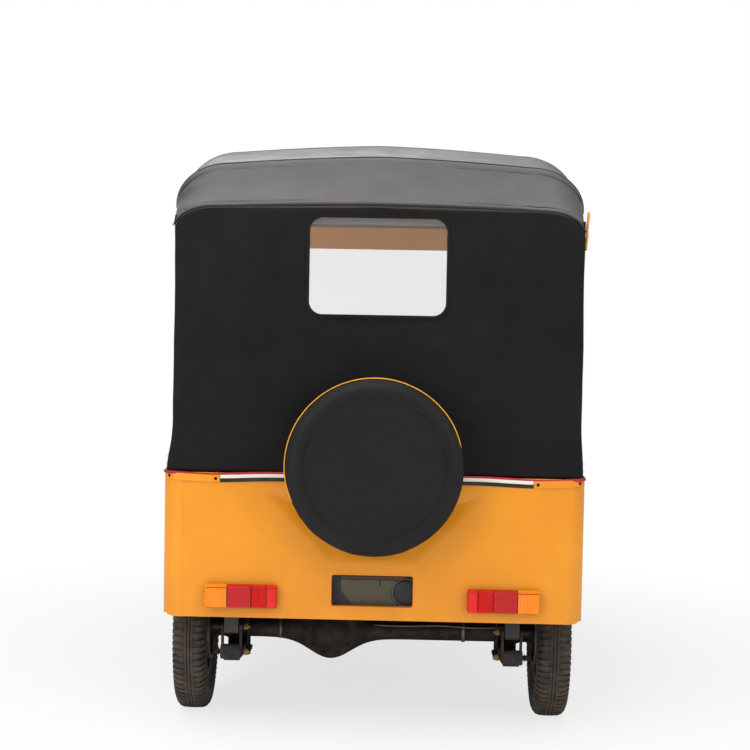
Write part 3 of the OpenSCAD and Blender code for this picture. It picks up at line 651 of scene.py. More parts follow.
PANEL_LOW, PANEL_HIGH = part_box("rear_panel")
ROOF_LOW, ROOF_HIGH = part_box("canopy_roof")
CURTAIN_LOW, CURTAIN_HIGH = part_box("canopy_back")
SIDES_LOW, SIDES_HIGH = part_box("canopy_sides")
COVER_LOW, COVER_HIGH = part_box("spare_cover")
LEFT_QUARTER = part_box("quarter_panel_left")
REAR_WHEEL_LOW, REAR_WHEEL_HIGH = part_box("rear_tyre_left")
FRONT_WHEEL_LOW, FRONT_WHEEL_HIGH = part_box("front_tyre")

REAR_Y = PANEL_HIGH.y
HEM_Z = PANEL_LOW.z
BELT_Z = PANEL_HIGH.z
HALF_W = LEFT_QUARTER[1].x
TYRE_R = (REAR_WHEEL_HIGH.z - REAR_WHEEL_LOW.z) / 2
TYRE_W = REAR_WHEEL_HIGH.x - REAR_WHEEL_LOW.x
WHEEL_X = (REAR_WHEEL_LOW.x + REAR_WHEEL_HIGH.x) / 2
REAR_AXLE_Y = (REAR_WHEEL_LOW.y + REAR_WHEEL_HIGH.y) / 2
FRONT_AXLE_Y = (FRONT_WHEEL_LOW.y + FRONT_WHEEL_HIGH.y) / 2
AXLE_Z = TYRE_R


# -------------------------------------------------------------- canopy roof

# Bows of the roof, from the rear: distance forward of the rear curtain, drop
# below the roof's top, half width, shoulder width and height, crown of the bow,
# and how far the ridge pole lifts the cloth along the middle
CURTAIN_Y = CURTAIN_HIGH.y
ROOF_BOWS = (
    (0.000, 0.258, 0.6270, 0.125, 0.068, 0.010, 0.004),
    (0.221, 0.099, 0.6410, 0.165, 0.130, 0.020, 0.015),
    (0.556, 0.045, 0.6470, 0.180, 0.150, 0.022, 0.015),
    (1.296, 0.000, 0.6470, 0.180, 0.150, 0.022, 0.015),
    (2.332, 0.269, 0.6330, 0.130, 0.100, 0.016, 0.006),
)
ROOF_SAG = (0.004, 0.006, 0.010, 0.012)
CLOTH_T = 0.003


def roof_station(back):
    """The roof's section sizes at a distance forward of the rear curtain."""
    for i in range(len(ROOF_BOWS) - 1):
        a, b = ROOF_BOWS[i], ROOF_BOWS[i + 1]
        if back <= b[0] or i == len(ROOF_BOWS) - 2:
            t = min(1.0, max(0.0, (back - a[0]) / (b[0] - a[0])))
            values = [mix(p, q, t) for p, q in zip(a, b)]
            return values[1:], 4 * t * (1 - t) * ROOF_SAG[i]


def roof_point(back, s, lift=0.0):
    """A point of the roof: s runs 0 to 1 across, from one lower edge to the other."""
    (drop, half, wide, high, crown, ridge), sag = roof_station(back)
    top = ROOF_HIGH.z - drop - sag * 0.9
    low = ROOF_LOW.z + 0.002
    side = abs(2 * s - 1)
    sign = 1 if s > 0.5 else -1
    wall = max(0.004, top - high - crown - ridge - low)
    bend = 0.5 * math.pi * math.sqrt((wide ** 2 + high ** 2) / 2)
    flat = half - wide
    total = flat + bend + wall
    run = side * total
    tent = ridge * (math.hypot(min(run, flat), 0.06) - 0.06) / (math.hypot(flat, 0.06) - 0.06)
    if run < flat:
        x, z = run, top - crown * (run / half) ** 2 - tent
        normal = (2 * crown * run / half ** 2, 1)
    elif run < flat + bend:
        angle = (run - flat) / bend * math.pi / 2
        x = flat + wide * math.sin(angle)
        z = top - crown * (flat / half) ** 2 - tent - high * (1 - math.cos(angle))
        normal = (math.sin(angle), math.cos(angle))
    else:
        x, z = half, top - crown * (flat / half) ** 2 - tent - high - (run - flat - bend)
        z = max(z, low)
        normal = (1, 0)
    size = math.hypot(*normal)
    x -= 0.4 * sag * smoothstep(0.3, 1.0, side)
    x += lift * normal[0] / size
    z += lift * normal[1] / size
    return Vector((sign * x, CURTAIN_Y - back, z))


def roof_wrinkle(point, back, s):
    """Small creases: drawn diagonally at the shoulders, faint ripples elsewhere."""
    side = abs(2 * s - 1)
    near = min(abs(back - bow[0]) for bow in ROOF_BOWS)
    shoulder = smoothstep(0.45, 0.7, side) * (1 - smoothstep(0.86, 0.98, side))
    rise = noise.noise(Vector((point.x * 7 + point.z * 9, point.y * 9 - point.z * 7, 1.7)))
    fine = noise.noise(point * 17 + Vector((3, 1, 8)))
    amount = smoothstep(0.0, 0.05, near) * (0.0022 + 0.0050 * shoulder)
    return -abs(rise) * amount + fine * 0.0008


def roof_strip(back0, back1, rows, columns, lift, wrinkled=True, s0=0.0, s1=1.0):
    verts, faces = [], []
    for i in range(rows + 1):
        back = mix(back0, back1, i / rows)
        for j in range(columns + 1):
            s = mix(s0, s1, j / columns)
            point = roof_point(back, s)
            extra = roof_wrinkle(point, back, s) if wrinkled else 0.0
            verts.append(roof_point(back, s, lift + extra))
    for i in range(rows):
        for j in range(columns):
            a = i * (columns + 1) + j
            faces.append((a, a + 1, a + columns + 2, a + columns + 1))
    return verts, faces


def sheet_solid(obj, thickness, offset=-1.0):
    solid = obj.modifiers.new("cloth", "SOLIDIFY")
    solid.thickness = thickness
    solid.offset = offset
    return bake_modifiers(obj)


def face_up(obj, way=(0, 0, 1)):
    """Turns an open sheet's faces so that most look along a direction."""
    way = Vector(way)
    total = sum(face.normal.dot(way) * face.area for face in obj.data.polygons)
    if total < 0:
        obj.data.flip_normals()
    return obj


ROOF_LENGTH = ROOF_BOWS[-1][0] - 0.003


def make_roof():
    verts, faces = roof_strip(0.004, ROOF_LENGTH, 150, 120, -CLOTH_T)
    skin = piece("canopy_skin", verts, faces, CANOPY, outward=False)
    face_up(skin)
    sheet_solid(skin, CLOTH_T, 1.0)
    verts, faces = roof_strip(0.006, ROOF_LENGTH - 0.002, 40, 80, -CLOTH_T - 0.0035, False)
    lining = piece("canopy_lining", verts, faces, LINING, outward=False)
    face_up(lining)
    sheet_solid(lining, 0.0015)
    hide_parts("canopy_roof")
    width = sum((roof_point(1.0, (i + 1) / 60) - roof_point(1.0, i / 60)).length for i in range(60))
    length = sum((roof_point((i + 1) * ROOF_LENGTH / 60, 0.5) - roof_point(i * ROOF_LENGTH / 60, 0.5)).length for i in range(60))
    return skin, lining, (round(width, 3), round(length, 3))


def make_frame():
    """The canopy's tube frame, its hoops raised in the middle as the canopy is."""
    made = bmesh.new()
    made.from_mesh(NODES["canopy_frame"].data)
    bmesh.ops.transform(made, matrix=NODES["canopy_frame"].matrix_world, verts=made.verts)
    for k in range(-6, 7):
        parts = made.verts[:] + made.edges[:] + made.faces[:]
        bmesh.ops.bisect_plane(made, geom=parts, plane_co=(k * 0.08, 0, 0), plane_no=(1, 0, 0))
    for vert in made.verts:
        high = smoothstep(1.66, 1.74, vert.co.z)
        middle = smoothstep(0.04, 0.12, CURTAIN_Y - vert.co.y)
        vert.co.z -= 0.028 * smoothstep(0.10, 0.46, abs(vert.co.x)) * high * middle
    mesh = bpy.data.meshes.new("canopy_tubes")
    made.to_mesh(mesh)
    made.free()
    mesh.materials.append(BLACK_PAINT)
    tubes = bpy.data.objects.new("canopy_tubes", mesh)
    scene.collection.objects.link(tubes)
    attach(tubes, "body")
    sharpen(tubes, 35)
    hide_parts("canopy_frame")
    return tubes


def make_roof_seams():
    """A rolled fold along the second bow, sewn seams beside the bows, and bound edges."""
    rolls, seams, rows, edges = [], [], [], []
    for back, radius in ((0.221, 0.0042), (0.556, 0.0030), (1.296, 0.0030)):
        rolls.append(sweep_part([roof_point(back, 0.03 + 0.94 * j / 140, -0.0022) for j in range(141)], radius, 8))
    for back in (0.024, 0.190, 0.240):
        for s0, s1 in ((0.06, 0.36), (0.64, 0.94)):
            path = [roof_point(back, mix(s0, s1, j / 60), -0.0004) for j in range(61)]
            seams.append(sweep_part(path, 0.0011, 6))
            rows.append([roof_point(back + 0.005, mix(s0, s1, j / 60), 0.0006) for j in range(61)])
    for s0, s1 in ((0.001, 0.017), (0.983, 0.999)):
        edges.append(roof_strip(0.006, ROOF_LENGTH, 90, 2, 0.0010, False, s0, s1))
    edges.append(roof_strip(ROOF_LENGTH - 0.024, ROOF_LENGTH, 2, 110, 0.0012, False))
    fold = merged("canopy_folds", rolls, CANOPY)
    lines = merged("canopy_seams", seams, BINDING)
    thread = merged("canopy_stitches", [stitches_along(row, BINDING) for row in rows], BINDING)
    bound = merged("canopy_bound_edges", edges, BINDING)
    face_up(bound)
    sheet_solid(bound, 0.0014, -1.0)
    strip = [Vector((-HALF_W + 0.010, mix(1.215, 1.262, t), mix(1.525, 1.640, t))) for t in [k / 14 for k in range(15)]]
    strip = [p + Vector((0.0006 * math.sin(k * 0.9), 0, 0)) for k, p in enumerate(strip)]
    cord = merged("canopy_corner_piping", [sweep_part(strip, 0.0040, 8)], YELLOW_PIPING)
    return fold, lines, thread, bound, cord


# ---------------------------------------------------- rear and side curtains

CURTAIN_HALF = CURTAIN_HIGH.x
CURTAIN_CORNER = 0.020
CURTAIN_FOOT = BELT_Z + 0.004
CURTAIN_FLARE = 0.026
SIDE_FRONT_Y = SIDES_LOW.y
WINDOW_LOW, WINDOW_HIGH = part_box("rear_window")
WINDOW_Z = (WINDOW_LOW.z + WINDOW_HIGH.z) / 2
WINDOW_W = WINDOW_HIGH.x - WINDOW_LOW.x
WINDOW_H = WINDOW_HIGH.z - WINDOW_LOW.z


def curtain_path(run):
    """(x, y, outward x, outward y) on the plan of the curtain, run from the middle of the rear."""
    sign = 1 if run >= 0 else -1
    run = abs(run)
    flat = CURTAIN_HALF - CURTAIN_CORNER
    bend = CURTAIN_CORNER * math.pi / 2
    if run < flat:
        return sign * run, CURTAIN_Y, 0.0, 1.0
    if run < flat + bend:
        angle = (run - flat) / CURTAIN_CORNER
        return (
            sign * (flat + CURTAIN_CORNER * math.sin(angle)),
            CURTAIN_Y - CURTAIN_CORNER * (1 - math.cos(angle)),
            sign * math.sin(angle), math.cos(angle),
        )
    return sign * CURTAIN_HALF, CURTAIN_Y - CURTAIN_CORNER - (run - flat - bend), sign * 1.0, 0.0


CURTAIN_RUN = CURTAIN_HALF - CURTAIN_CORNER + CURTAIN_CORNER * math.pi / 2 + (CURTAIN_Y - CURTAIN_CORNER - SIDE_FRONT_Y)


def curtain_top(x):
    """Height of the first bow above a place across the vehicle."""
    drop, half, wide, high, crown, ridge = ROOF_BOWS[0][1:]
    top = ROOF_HIGH.z - drop - ridge * (1 - math.exp(-abs(x) / 0.12)) - 0.006
    flat = half - wide
    over = min(1.0, max(0.0, (abs(x) - flat) / wide))
    return top - crown * (min(abs(x), flat) / half) ** 2 - high * (1 - math.sqrt(1 - over ** 2))


def curtain_fold(run, z):
    """How far the curtain stands out: slack above the belt, pulls at the window and corners."""
    foot = smoothstep(0.0, 0.10, z - CURTAIN_FOOT)
    head = smoothstep(0.0, 0.06, curtain_top(min(abs(run), CURTAIN_HALF - 0.01)) - z)
    wave = noise.noise(Vector((run * 3.1, z * 1.3, 4.2)))
    ripple = noise.noise(Vector((run * 9.0 + z * 3.0, z * 5.0, 9.1)))
    fine = noise.noise(Vector((run * 24.0, z * 16.0, 2.5)))
    lean = noise.noise(Vector(((abs(run) + z) * 8.0, (abs(run) - z) * 1.6, 5.5)))
    corner = smoothstep(0.30, 0.55, abs(run)) * (1 - smoothstep(0.60, 0.75, abs(run)))
    return foot * head * (0.0042 * wave + 0.0020 * ripple + 0.0007 * fine + 0.0030 * corner * lean)


def make_curtain():
    columns, rows = 230, 96
    verts, faces = [], []
    for j in range(rows + 1):
        for i in range(columns + 1):
            run = mix(-CURTAIN_RUN, CURTAIN_RUN, i / columns)
            x, y, out_x, out_y = curtain_path(run)
            top = curtain_top(x) if out_y > 0.05 else ROOF_LOW.z + 0.03
            z = mix(CURTAIN_FOOT, top, j / rows)
            out = curtain_fold(run, z) - CLOTH_T - 0.001
            flare = 1 + CURTAIN_FLARE * (1 - smoothstep(0.0, 0.16, z - CURTAIN_FOOT))
            if x < 0:
                flare += 0.009 * smoothstep(0.0, 0.16, z - CURTAIN_FOOT)
            verts.append(((x + out_x * out) * flare, y + out_y * out, z))
    for j in range(rows):
        for i in range(columns):
            a = j * (columns + 1) + i
            faces.append((a, a + 1, a + columns + 2, a + columns + 1))
    curtain = piece("canopy_curtain", verts, faces, CURTAIN, outward=False)
    face_up(curtain, (0, 1, 0))
    sheet_solid(curtain, CLOTH_T, -1.0)
    cut_window(curtain, WINDOW_W - 0.012, WINDOW_H - 0.012, 0.036)
    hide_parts("canopy_back", "canopy_sides")
    return curtain


def cut_window(obj, width, height, radius):
    """Cuts a rounded opening through a rear-facing piece at the window's place."""
    outline = [(u, v + WINDOW_Z) for u, v in rounded_outline(width, height, radius, 10)]
    part = moved(plate_part(outline, -0.03, 0.03), Matrix.Translation((0, CURTAIN_Y, 0)) @ REAR)
    cut_away(obj, part)


def cut_away(obj, part):
    """Takes a closed part away from a piece."""
    mesh = bpy.data.meshes.new("cutter")
    mesh.from_pydata([tuple(v) for v in part[0]], [], part[1])
    cutter = bpy.data.objects.new("cutter", mesh)
    scene.collection.objects.link(cutter)
    turn_outward(cutter)
    hole = obj.modifiers.new("hole", "BOOLEAN")
    hole.operation = "DIFFERENCE"
    hole.solver = "EXACT"
    hole.object = cutter
    bake_modifiers(obj)
    bpy.data.objects.remove(cutter)
    bpy.data.meshes.remove(mesh)


def make_curtain_trim():
    """Window sheet with its sewn surround, and the red piping along the belt."""
    at = Matrix.Translation((0, CURTAIN_Y - 0.0015, WINDOW_Z)) @ REAR
    outer = rounded_outline(WINDOW_W + 0.010, WINDOW_H + 0.010, 0.050, 10)
    inner = rounded_outline(WINDOW_W - 0.012, WINDOW_H - 0.012, 0.040, 10)
    frame_part = moved(ring_plate_part(outer, inner, -0.0022, 0.0006), at)
    surround = merged("window_binding", [frame_part], CURTAIN)
    round_edges(surround, 0.0008, 2)
    rows = []
    for grow, radius in ((0.022, 0.052),):
        ring = rounded_outline(WINDOW_W + grow, WINDOW_H + grow, radius, 10)
        ring.append(ring[0])
        rows.append([at @ Vector((u, v, 0.0026)) for u, v in ring])
    seams = merged("window_stitches", [stitches_along(row, BINDING) for row in rows], BINDING)
    steps = 40
    verts, faces = [], []
    for j in range(steps + 1):
        for i in range(steps + 1):
            u, v = 2 * i / steps - 1, 2 * j / steps - 1
            bulge = 0.004 * (1 - u * u) * (1 - v * v) + 0.0008 * noise.noise(Vector((u * 3, v * 2, 3)))
            verts.append((u * (WINDOW_W - 0.002) / 2, CURTAIN_Y - 0.004 + bulge, WINDOW_Z + v * (WINDOW_H - 0.002) / 2))
    for j in range(steps):
        for i in range(steps):
            a = j * (steps + 1) + i
            faces.append((a, a + 1, a + steps + 2, a + steps + 1))
    pane = piece("window_sheet", verts, faces, CLEAR_VINYL, outward=False)
    face_up(pane, (0, 1, 0))
    corner_cut = rounded_outline(WINDOW_W - 0.002, WINDOW_H - 0.002, 0.042, 10)
    trim_to_outline(pane, corner_cut)
    sheet_solid(pane, 0.0008)
    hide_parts("rear_window")
    piping = []
    for i in range(281):
        x, y, out_x, out_y = curtain_path(mix(-CURTAIN_RUN, CURTAIN_RUN, i / 280))
        dip = 0.9 * belt_dip(x)
        wobble = 0.0012 * noise.noise(Vector((x * 6, y * 6, 0.5)))
        wide = x * (1 + CURTAIN_FLARE)
        piping.append((wide + out_x * 0.001, y + out_y * 0.001, BELT_Z + 0.0003 - dip + wobble))
    cord = merged("belt_piping", [sweep_part(piping, 0.0044, 10)], RED_PIPING)
    hem = []
    for side in (0.022, 0.046):
        row = []
        for i in range(281):
            run = mix(-CURTAIN_RUN, CURTAIN_RUN, i / 280)
            x, y, out_x, out_y = curtain_path(run)
            out = curtain_fold(run, BELT_Z + side) + 0.0004
            row.append((x * (1 + CURTAIN_FLARE * 0.92) + out_x * out, y + out_y * out, BELT_Z + side))
        hem.append(stitches_along(row, BINDING))
    hems = merged("curtain_hem_stitches", hem, BINDING)
    return surround, seams, pane, cord, hems


def trim_to_outline(obj, outline):
    """Pulls the corners of a flat rear-facing sheet in to a rounded outline."""
    half_w = max(u for u, _ in outline)
    half_h = max(v for _, v in outline)
    radius = 0.042
    for vert in obj.data.vertices:
        u, v = vert.co.x, vert.co.z - WINDOW_Z
        over_u, over_v = abs(u) - (half_w - radius), abs(v) - (half_h - radius)
        if over_u > 0 and over_v > 0:
            scale = max(over_u, over_v) / math.hypot(over_u, over_v)
            vert.co.x = math.copysign(half_w - radius + over_u * scale, u)
            vert.co.z = WINDOW_Z + math.copysign(half_h - radius + over_v * scale, v)


# -------------------------------------------------------- rear panel and belt

CORNER_R = 0.062
FOOT_R = 0.030
PANEL_T = 0.0015
RECESS = ((0.338, BELT_Z - 0.052), (0.132, BELT_Z - 0.261))
HATCH_Z = 0.468
HATCH_W, HATCH_H = 0.255, 0.102
LAMP_LOW, LAMP_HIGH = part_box("tail_lamps")
LAMP_W = 0.226
LAMP_H = LAMP_HIGH.z - LAMP_LOW.z
LAMP_X = LAMP_HIGH.x - LAMP_W / 2
LAMP_Z = (LAMP_LOW.z + LAMP_HIGH.z) / 2 - 0.0055


def body_plan(run):
    """(x, y, outward x, outward y) on the plan of the rear body, run from the middle."""
    sign = 1 if run >= 0 else -1
    run = abs(run)
    flat = HALF_W - CORNER_R
    bend = CORNER_R * math.pi / 2
    if run < flat:
        return sign * run, REAR_Y, 0.0, 1.0
    angle = min(math.pi / 2, (run - flat) / CORNER_R)
    return (
        sign * (flat + CORNER_R * math.sin(angle)),
        REAR_Y - CORNER_R * (1 - math.cos(angle)) - max(0.0, run - flat - bend),
        sign * math.sin(angle), math.cos(angle),
    )


def recess_depth(x, z):
    """How deep the pressed hollow round the spare wheel is at a place."""
    (top_x, top_z), (low_x, low_z) = RECESS
    t = (top_z - z) / (top_z - low_z)
    edge = mix(top_x, low_x, min(1.0, max(0.0, t)))
    slope = math.hypot(top_x - low_x, top_z - low_z) / (top_z - low_z)
    inside = min((edge - abs(x)) / slope, top_z - z, z - low_z)
    corner = Vector((abs(x), z)) - Vector((top_x - 0.05, top_z - 0.05))
    if corner.x > 0 and corner.y > 0:
        inside = min(inside, 0.05 - corner.length)
    return 0.014 * smoothstep(-0.012, 0.040, inside)


def panel_dent(run, z):
    """Hand-beaten unevenness of the sheet."""
    wave = noise.noise(Vector((run * 3.0, z * 3.5, 8.3)))
    small = noise.noise(Vector((run * 11.0, z * 11.0, 1.1)))
    return 0.0010 * wave + 0.00035 * small


def panel_point(run, z, sink=0.0):
    x, y, out_x, out_y = body_plan(run)
    low = HEM_Z + FOOT_R
    flat = HALF_W - CORNER_R
    edge = smoothstep(0, FOOT_R, low - z)
    pull = FOOT_R * (1 - math.sqrt(max(0.0, 1 - min(1.0, (low - z) / FOOT_R) ** 2))) if z < low else 0.0
    side = smoothstep(flat + 0.02, flat + CORNER_R * 1.4, abs(run))
    depth = 0.6 * recess_depth(x, z) - panel_dent(run, z) * (1 - edge) + sink + 0.0006
    return Vector((
        x - out_x * depth - math.copysign(pull * side, x),
        y - out_y * depth, z,
    ))


def make_rear_panel():
    """The pressed sheet from belt to hem, with its hollow, its hatch and its rolled lower edge."""
    reach = HALF_W - CORNER_R + CORNER_R * math.pi / 2 - 0.001
    columns = 300
    heights = [HEM_Z + 0.0005 + FOOT_R * (1 - math.cos(math.pi / 2 * j / 18)) for j in range(18)]
    heights += [mix(HEM_Z + FOOT_R, BELT_Z - 0.0005, j / 110) for j in range(111)]
    verts, faces = [], []
    for z in heights:
        for i in range(columns + 1):
            verts.append(panel_point(mix(-reach, reach, i / columns), z))
    for j in range(len(heights) - 1):
        for i in range(columns):
            a = j * (columns + 1) + i
            faces.append((a, a + 1, a + columns + 2, a + columns + 1))
    sheet = piece("rear_panel_sheet", verts, faces, YELLOW, outward=False)
    face_up(sheet, (0, 1, 0))
    sheet_solid(sheet, 0.012, -1.0)
    hatch = [(u, v + HATCH_Z) for u, v in rounded_outline(HATCH_W, HATCH_H, 0.010, 5)]
    cut_away(sheet, moved(plate_part(hatch, -0.05, 0.05), Matrix.Translation((0, REAR_Y, 0)) @ REAR))
    sharpen(sheet, 40)
    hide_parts("rear_panel")
    at = Matrix.Translation((0, REAR_Y, HATCH_Z)) @ REAR
    outer = rounded_outline(HATCH_W + 0.004, HATCH_H + 0.004, 0.012, 5)
    inner = rounded_outline(HATCH_W - 0.005, HATCH_H - 0.005, 0.008, 5)
    lip = merged("hatch_rim", [moved(ring_plate_part(outer, inner, -0.024, 0.0008), at)], YELLOW)
    round_edges(lip, 0.0008, 2)
    creases = []
    for sign in (-1, 1):
        run = sign * (HALF_W - CORNER_R + 0.022)
        points = [panel_point(run, mix(HEM_Z + 0.012, BELT_Z - 0.03, k / 40)) for k in range(41)]
        creases.append(sweep_part(points, 0.0011, 6))
    seam = merged("corner_creases", creases, YELLOW)
    return sheet, lip, seam


# Where the belt's end plates begin on each side
PLATE_FROM = {1: 0.475, -1: 0.490}


def belt_dip(x):
    """How far the belt line sags near the end plates."""
    return 0.006 * smoothstep(0.30, 0.50, abs(x)) * (1 - smoothstep(0.50, 0.66, abs(x)))


def make_belt():
    """End plates with their screws, and the pale band over the black rubber band."""
    plates, bands, rubbers, screws = [], [], [], []
    for sign in (-1, 1):
        x0 = sign * PLATE_FROM[sign]
        outline = []
        steps = 18
        top, low = BELT_Z - 0.0005, BELT_Z - 0.0235
        for back, lift in ((0.0006, 0.0), (0.0042, 0.0008)):
            ring = []
            for i in range(steps + 1):
                run = mix(x0, sign * (HALF_W - 0.004), i / steps)
                x, y, out_x, out_y = body_plan(run)
                dip = belt_dip(x)
                ring.append((
                    (x + out_x * back, y + out_y * back, low + lift - dip),
                    (x + out_x * back, y + out_y * back, top - lift - dip),
                ))
            outline.append(ring)
        verts, faces = [], []
        for ring in outline:
            for pair in ring:
                verts.extend(pair)
        count = 2 * (steps + 1)
        for i in range(steps):
            a = 2 * i
            faces.append((a, a + 1, a + 3, a + 2))
            faces.append((count + a, count + a + 2, count + a + 3, count + a + 1))
            faces.append((a, a + 2, count + a + 2, count + a))
            faces.append((a + 1, count + a + 1, count + a + 3, a + 3))
        faces.append((0, count, count + 1, 1))
        faces.append((2 * steps, 2 * steps + 1, count + 2 * steps + 1, count + 2 * steps))
        plates.append((verts, faces))
        for run in (sign * (PLATE_FROM[sign] + 0.011), sign * (HALF_W - CORNER_R + 0.044)):
            x, y, out_x, out_y = body_plan(run)
            at = axis_matrix((x + out_x * 0.0040, y + out_y * 0.0040, BELT_Z - 0.012 - belt_dip(x)), (out_x, out_y, 0))
            screws.append(moved(screw_part(0.0052), at))
        for z0, z1, thick, into in ((-0.0115, -0.001, 0.0034, bands), (-0.0235, -0.0125, 0.0030, rubbers)):
            verts, faces = [], []
            for i in range(25):
                x = sign * mix(0.002, PLATE_FROM[sign] - 0.003, i / 24)
                dip = belt_dip(x)
                for y in (REAR_Y + 0.0004, REAR_Y + thick):
                    for z in (BELT_Z + z0 - dip, BELT_Z + z1 - dip):
                        verts.append((x, y, z))
            for i in range(24):
                k = 4 * i
                faces += [(k, k + 4, k + 5, k + 1), (k + 2, k + 3, k + 7, k + 6), (k, k + 2, k + 6, k + 4), (k + 1, k + 5, k + 7, k + 3)]
            faces += [(0, 1, 3, 2), (96, 98, 99, 97)]
            into.append((verts, faces))
    ends = merged("belt_end_plates", plates, YELLOW)
    sharpen(ends, 50)
    pale = merged("belt_pale_band", bands, WHITE_PAINT)
    round_edges(pale, 0.0010, 2)
    dark = merged("belt_rubber_band", rubbers, RUBBER)
    round_edges(dark, 0.0012, 2)
    heads = merged("belt_screws", screws, SCREW)
    sharpen(heads, 35)
    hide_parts("belt_trim")
    return ends, pale, dark, heads


def screw_part(radius):
    """A pan head with a slot, standing on the plane z = 0."""
    rings = []
    steps = 20
    profile = [(0.0, 0.55), (0.45, 0.52), (0.80, 0.38), (1.0, 0.12), (1.0, -0.15)]
    for r, h in profile:
        rings.append([(
            r * radius * math.cos(2 * math.pi * k / steps),
            r * radius * math.sin(2 * math.pi * k / steps),
            h * radius - (0.30 * radius if abs(math.sin(2 * math.pi * k / steps) * r) < 0.17 and r < 0.9 else 0),
        ) for k in range(steps)])
    verts = [v for ring in rings for v in ring]
    faces = []
    for j in range(len(rings) - 1):
        for k in range(steps):
            a, b = j * steps + k, j * steps + (k + 1) % steps
            faces.append((a, a + steps, b + steps, b))
    faces.append(tuple((len(rings) - 1) * steps + k for k in range(steps))[::-1])
    return verts, faces


def hex_part(across, height, bore=0.0, washer=True):
    """A hexagon nut or head with chamfered corners on its washer, standing on z = 0."""
    verts, faces = [], []
    radius = across / math.sqrt(3)
    base = 0.0018 if washer else 0.0
    layers = [(0.0, radius * 0.94), (0.0, radius), (height * 0.86, radius), (height, radius * 0.88)]
    for z, r in layers[1:]:
        verts.extend((r * math.cos(math.pi * k / 3), r * math.sin(math.pi * k / 3), base + z) for k in range(6))
    for j in range(2):
        for k in range(6):
            a, b = j * 6 + k, j * 6 + (k + 1) % 6
            faces.append((a, b, b + 6, a + 6))
    faces.append(tuple(range(6))[::-1])
    faces.append(tuple(12 + k for k in range(6)))
    start = len(verts)
    if washer:
        ring, ring_faces = lathe_part([(0.0, 0.0), (across * 0.80, 0.0), (across * 0.82, 0.0012), (across * 0.74, 0.0018), (0.0, 0.0018)], 24, False)
        verts += ring
        faces += [tuple(start + i for i in f) for f in ring_faces]
    if bore:
        start = len(verts)
        stud, stud_faces = lathe_part([(0.0, base), (bore, base), (bore, base + height + 0.004), (bore * 0.7, base + height + 0.006), (0.0, base + height + 0.006)], 16, False)
        verts += stud
        faces += [tuple(start + i for i in f) for f in stud_faces]
    return verts, faces


# ---------------------------------------------------------------- tail lamps

# Segments of a lamp from its outer end: share of the width, material, ribs
LAMP_SEGMENTS = (
    (0.00, 0.310, AMBER, 0.45),
    (0.315, 0.640, DEEP_RED, 0.0),
    (0.645, 0.850, MID_RED, 1.0),
    (0.855, 1.000, RED, 0.0),
)


def make_tail_lamps():
    made = []
    for name, sign in (("left", 1), ("right", -1)):
        base_at = Matrix.Translation((sign * LAMP_X, REAR_Y, LAMP_Z)) @ REAR
        tray = plate_part(rounded_outline(LAMP_W - 0.006, LAMP_H - 0.007, 0.008, 5), -0.002, 0.012, 0.002)
        gasket = merged("lamp_base_" + name, [moved(tray, base_at)], BLACK_PLASTIC)
        round_edges(gasket, 0.0012, 2)
        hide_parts("tail_lamps")
        made.append(gasket)
        for index, (s0, s1, material, ribbed) in enumerate(LAMP_SEGMENTS):
            u0, u1 = (0.5 - s0) * LAMP_W, (0.5 - s1) * LAMP_W
            u0, u1 = sign * u0, sign * u1
            low_u, high_u = min(u0, u1) + 0.0005, max(u0, u1) - 0.0005
            half_h = LAMP_H / 2 - 0.0008
            steps_u, steps_v = 26, 14
            verts, faces = [], []
            for j in range(steps_v + 1):
                for i in range(steps_u + 1):
                    a, b = i / steps_u, j / steps_v
                    u = mix(low_u, high_u, a)
                    outer = min(1.0, (LAMP_W / 2 - 0.0005 - abs(u)) / 0.009)
                    tall = half_h - 0.009 * (1 - math.sqrt(max(0.0, 1 - (1 - max(0.0, outer)) ** 2)))
                    v = mix(-tall, tall, b)
                    edge_v = min(1.0, (tall - abs(v)) / 0.006)
                    rise = 0.0305 * math.sqrt(max(0.0, 1 - (1 - max(0.0, edge_v)) ** 2 * 0.75))
                    rise *= math.sqrt(max(0.0, 1 - (1 - max(0.0, outer)) ** 2 * 0.8))
                    if ribbed:
                        share = a if sign > 0 else 1 - a
                        if share < ribbed or ribbed == 1.0:
                            rise -= 0.0020 * ((i // 2) % 2)
                    verts.append((u, v, rise))
            for j in range(steps_v):
                for i in range(steps_u):
                    k = j * (steps_u + 1) + i
                    faces.append((k, k + 1, k + steps_u + 2, k + steps_u + 1))
            lens_name = "lamp_lens_" + name + "_" + "abcd"[index]
            segment = merged(lens_name, [moved((verts, faces), base_at)], material)
            face_up(segment, (0, 1, 0))
            sheet_solid(segment, 0.006, -1.0)
            sharpen(segment, 40)
            made.append(segment)
        bead = moved(plate_part(rounded_outline(LAMP_W - 0.012, 0.0022, 0.001, 3), 0.028, 0.0312), base_at @ Matrix.Translation((0, LAMP_H / 2 - 0.010, 0)))
        made.append(merged("lamp_edge_" + name, [bead], MID_RED))
    return made


# ---------------------------------------------------------------- spare wheel

SPARE_AT = Vector(((COVER_LOW.x + COVER_HIGH.x) / 2, 0, (COVER_LOW.z + COVER_HIGH.z) / 2 - 0.0035))
COVER_R = (COVER_HIGH.x - COVER_LOW.x) / 2 + 0.003
COVER_Y = COVER_HIGH.y


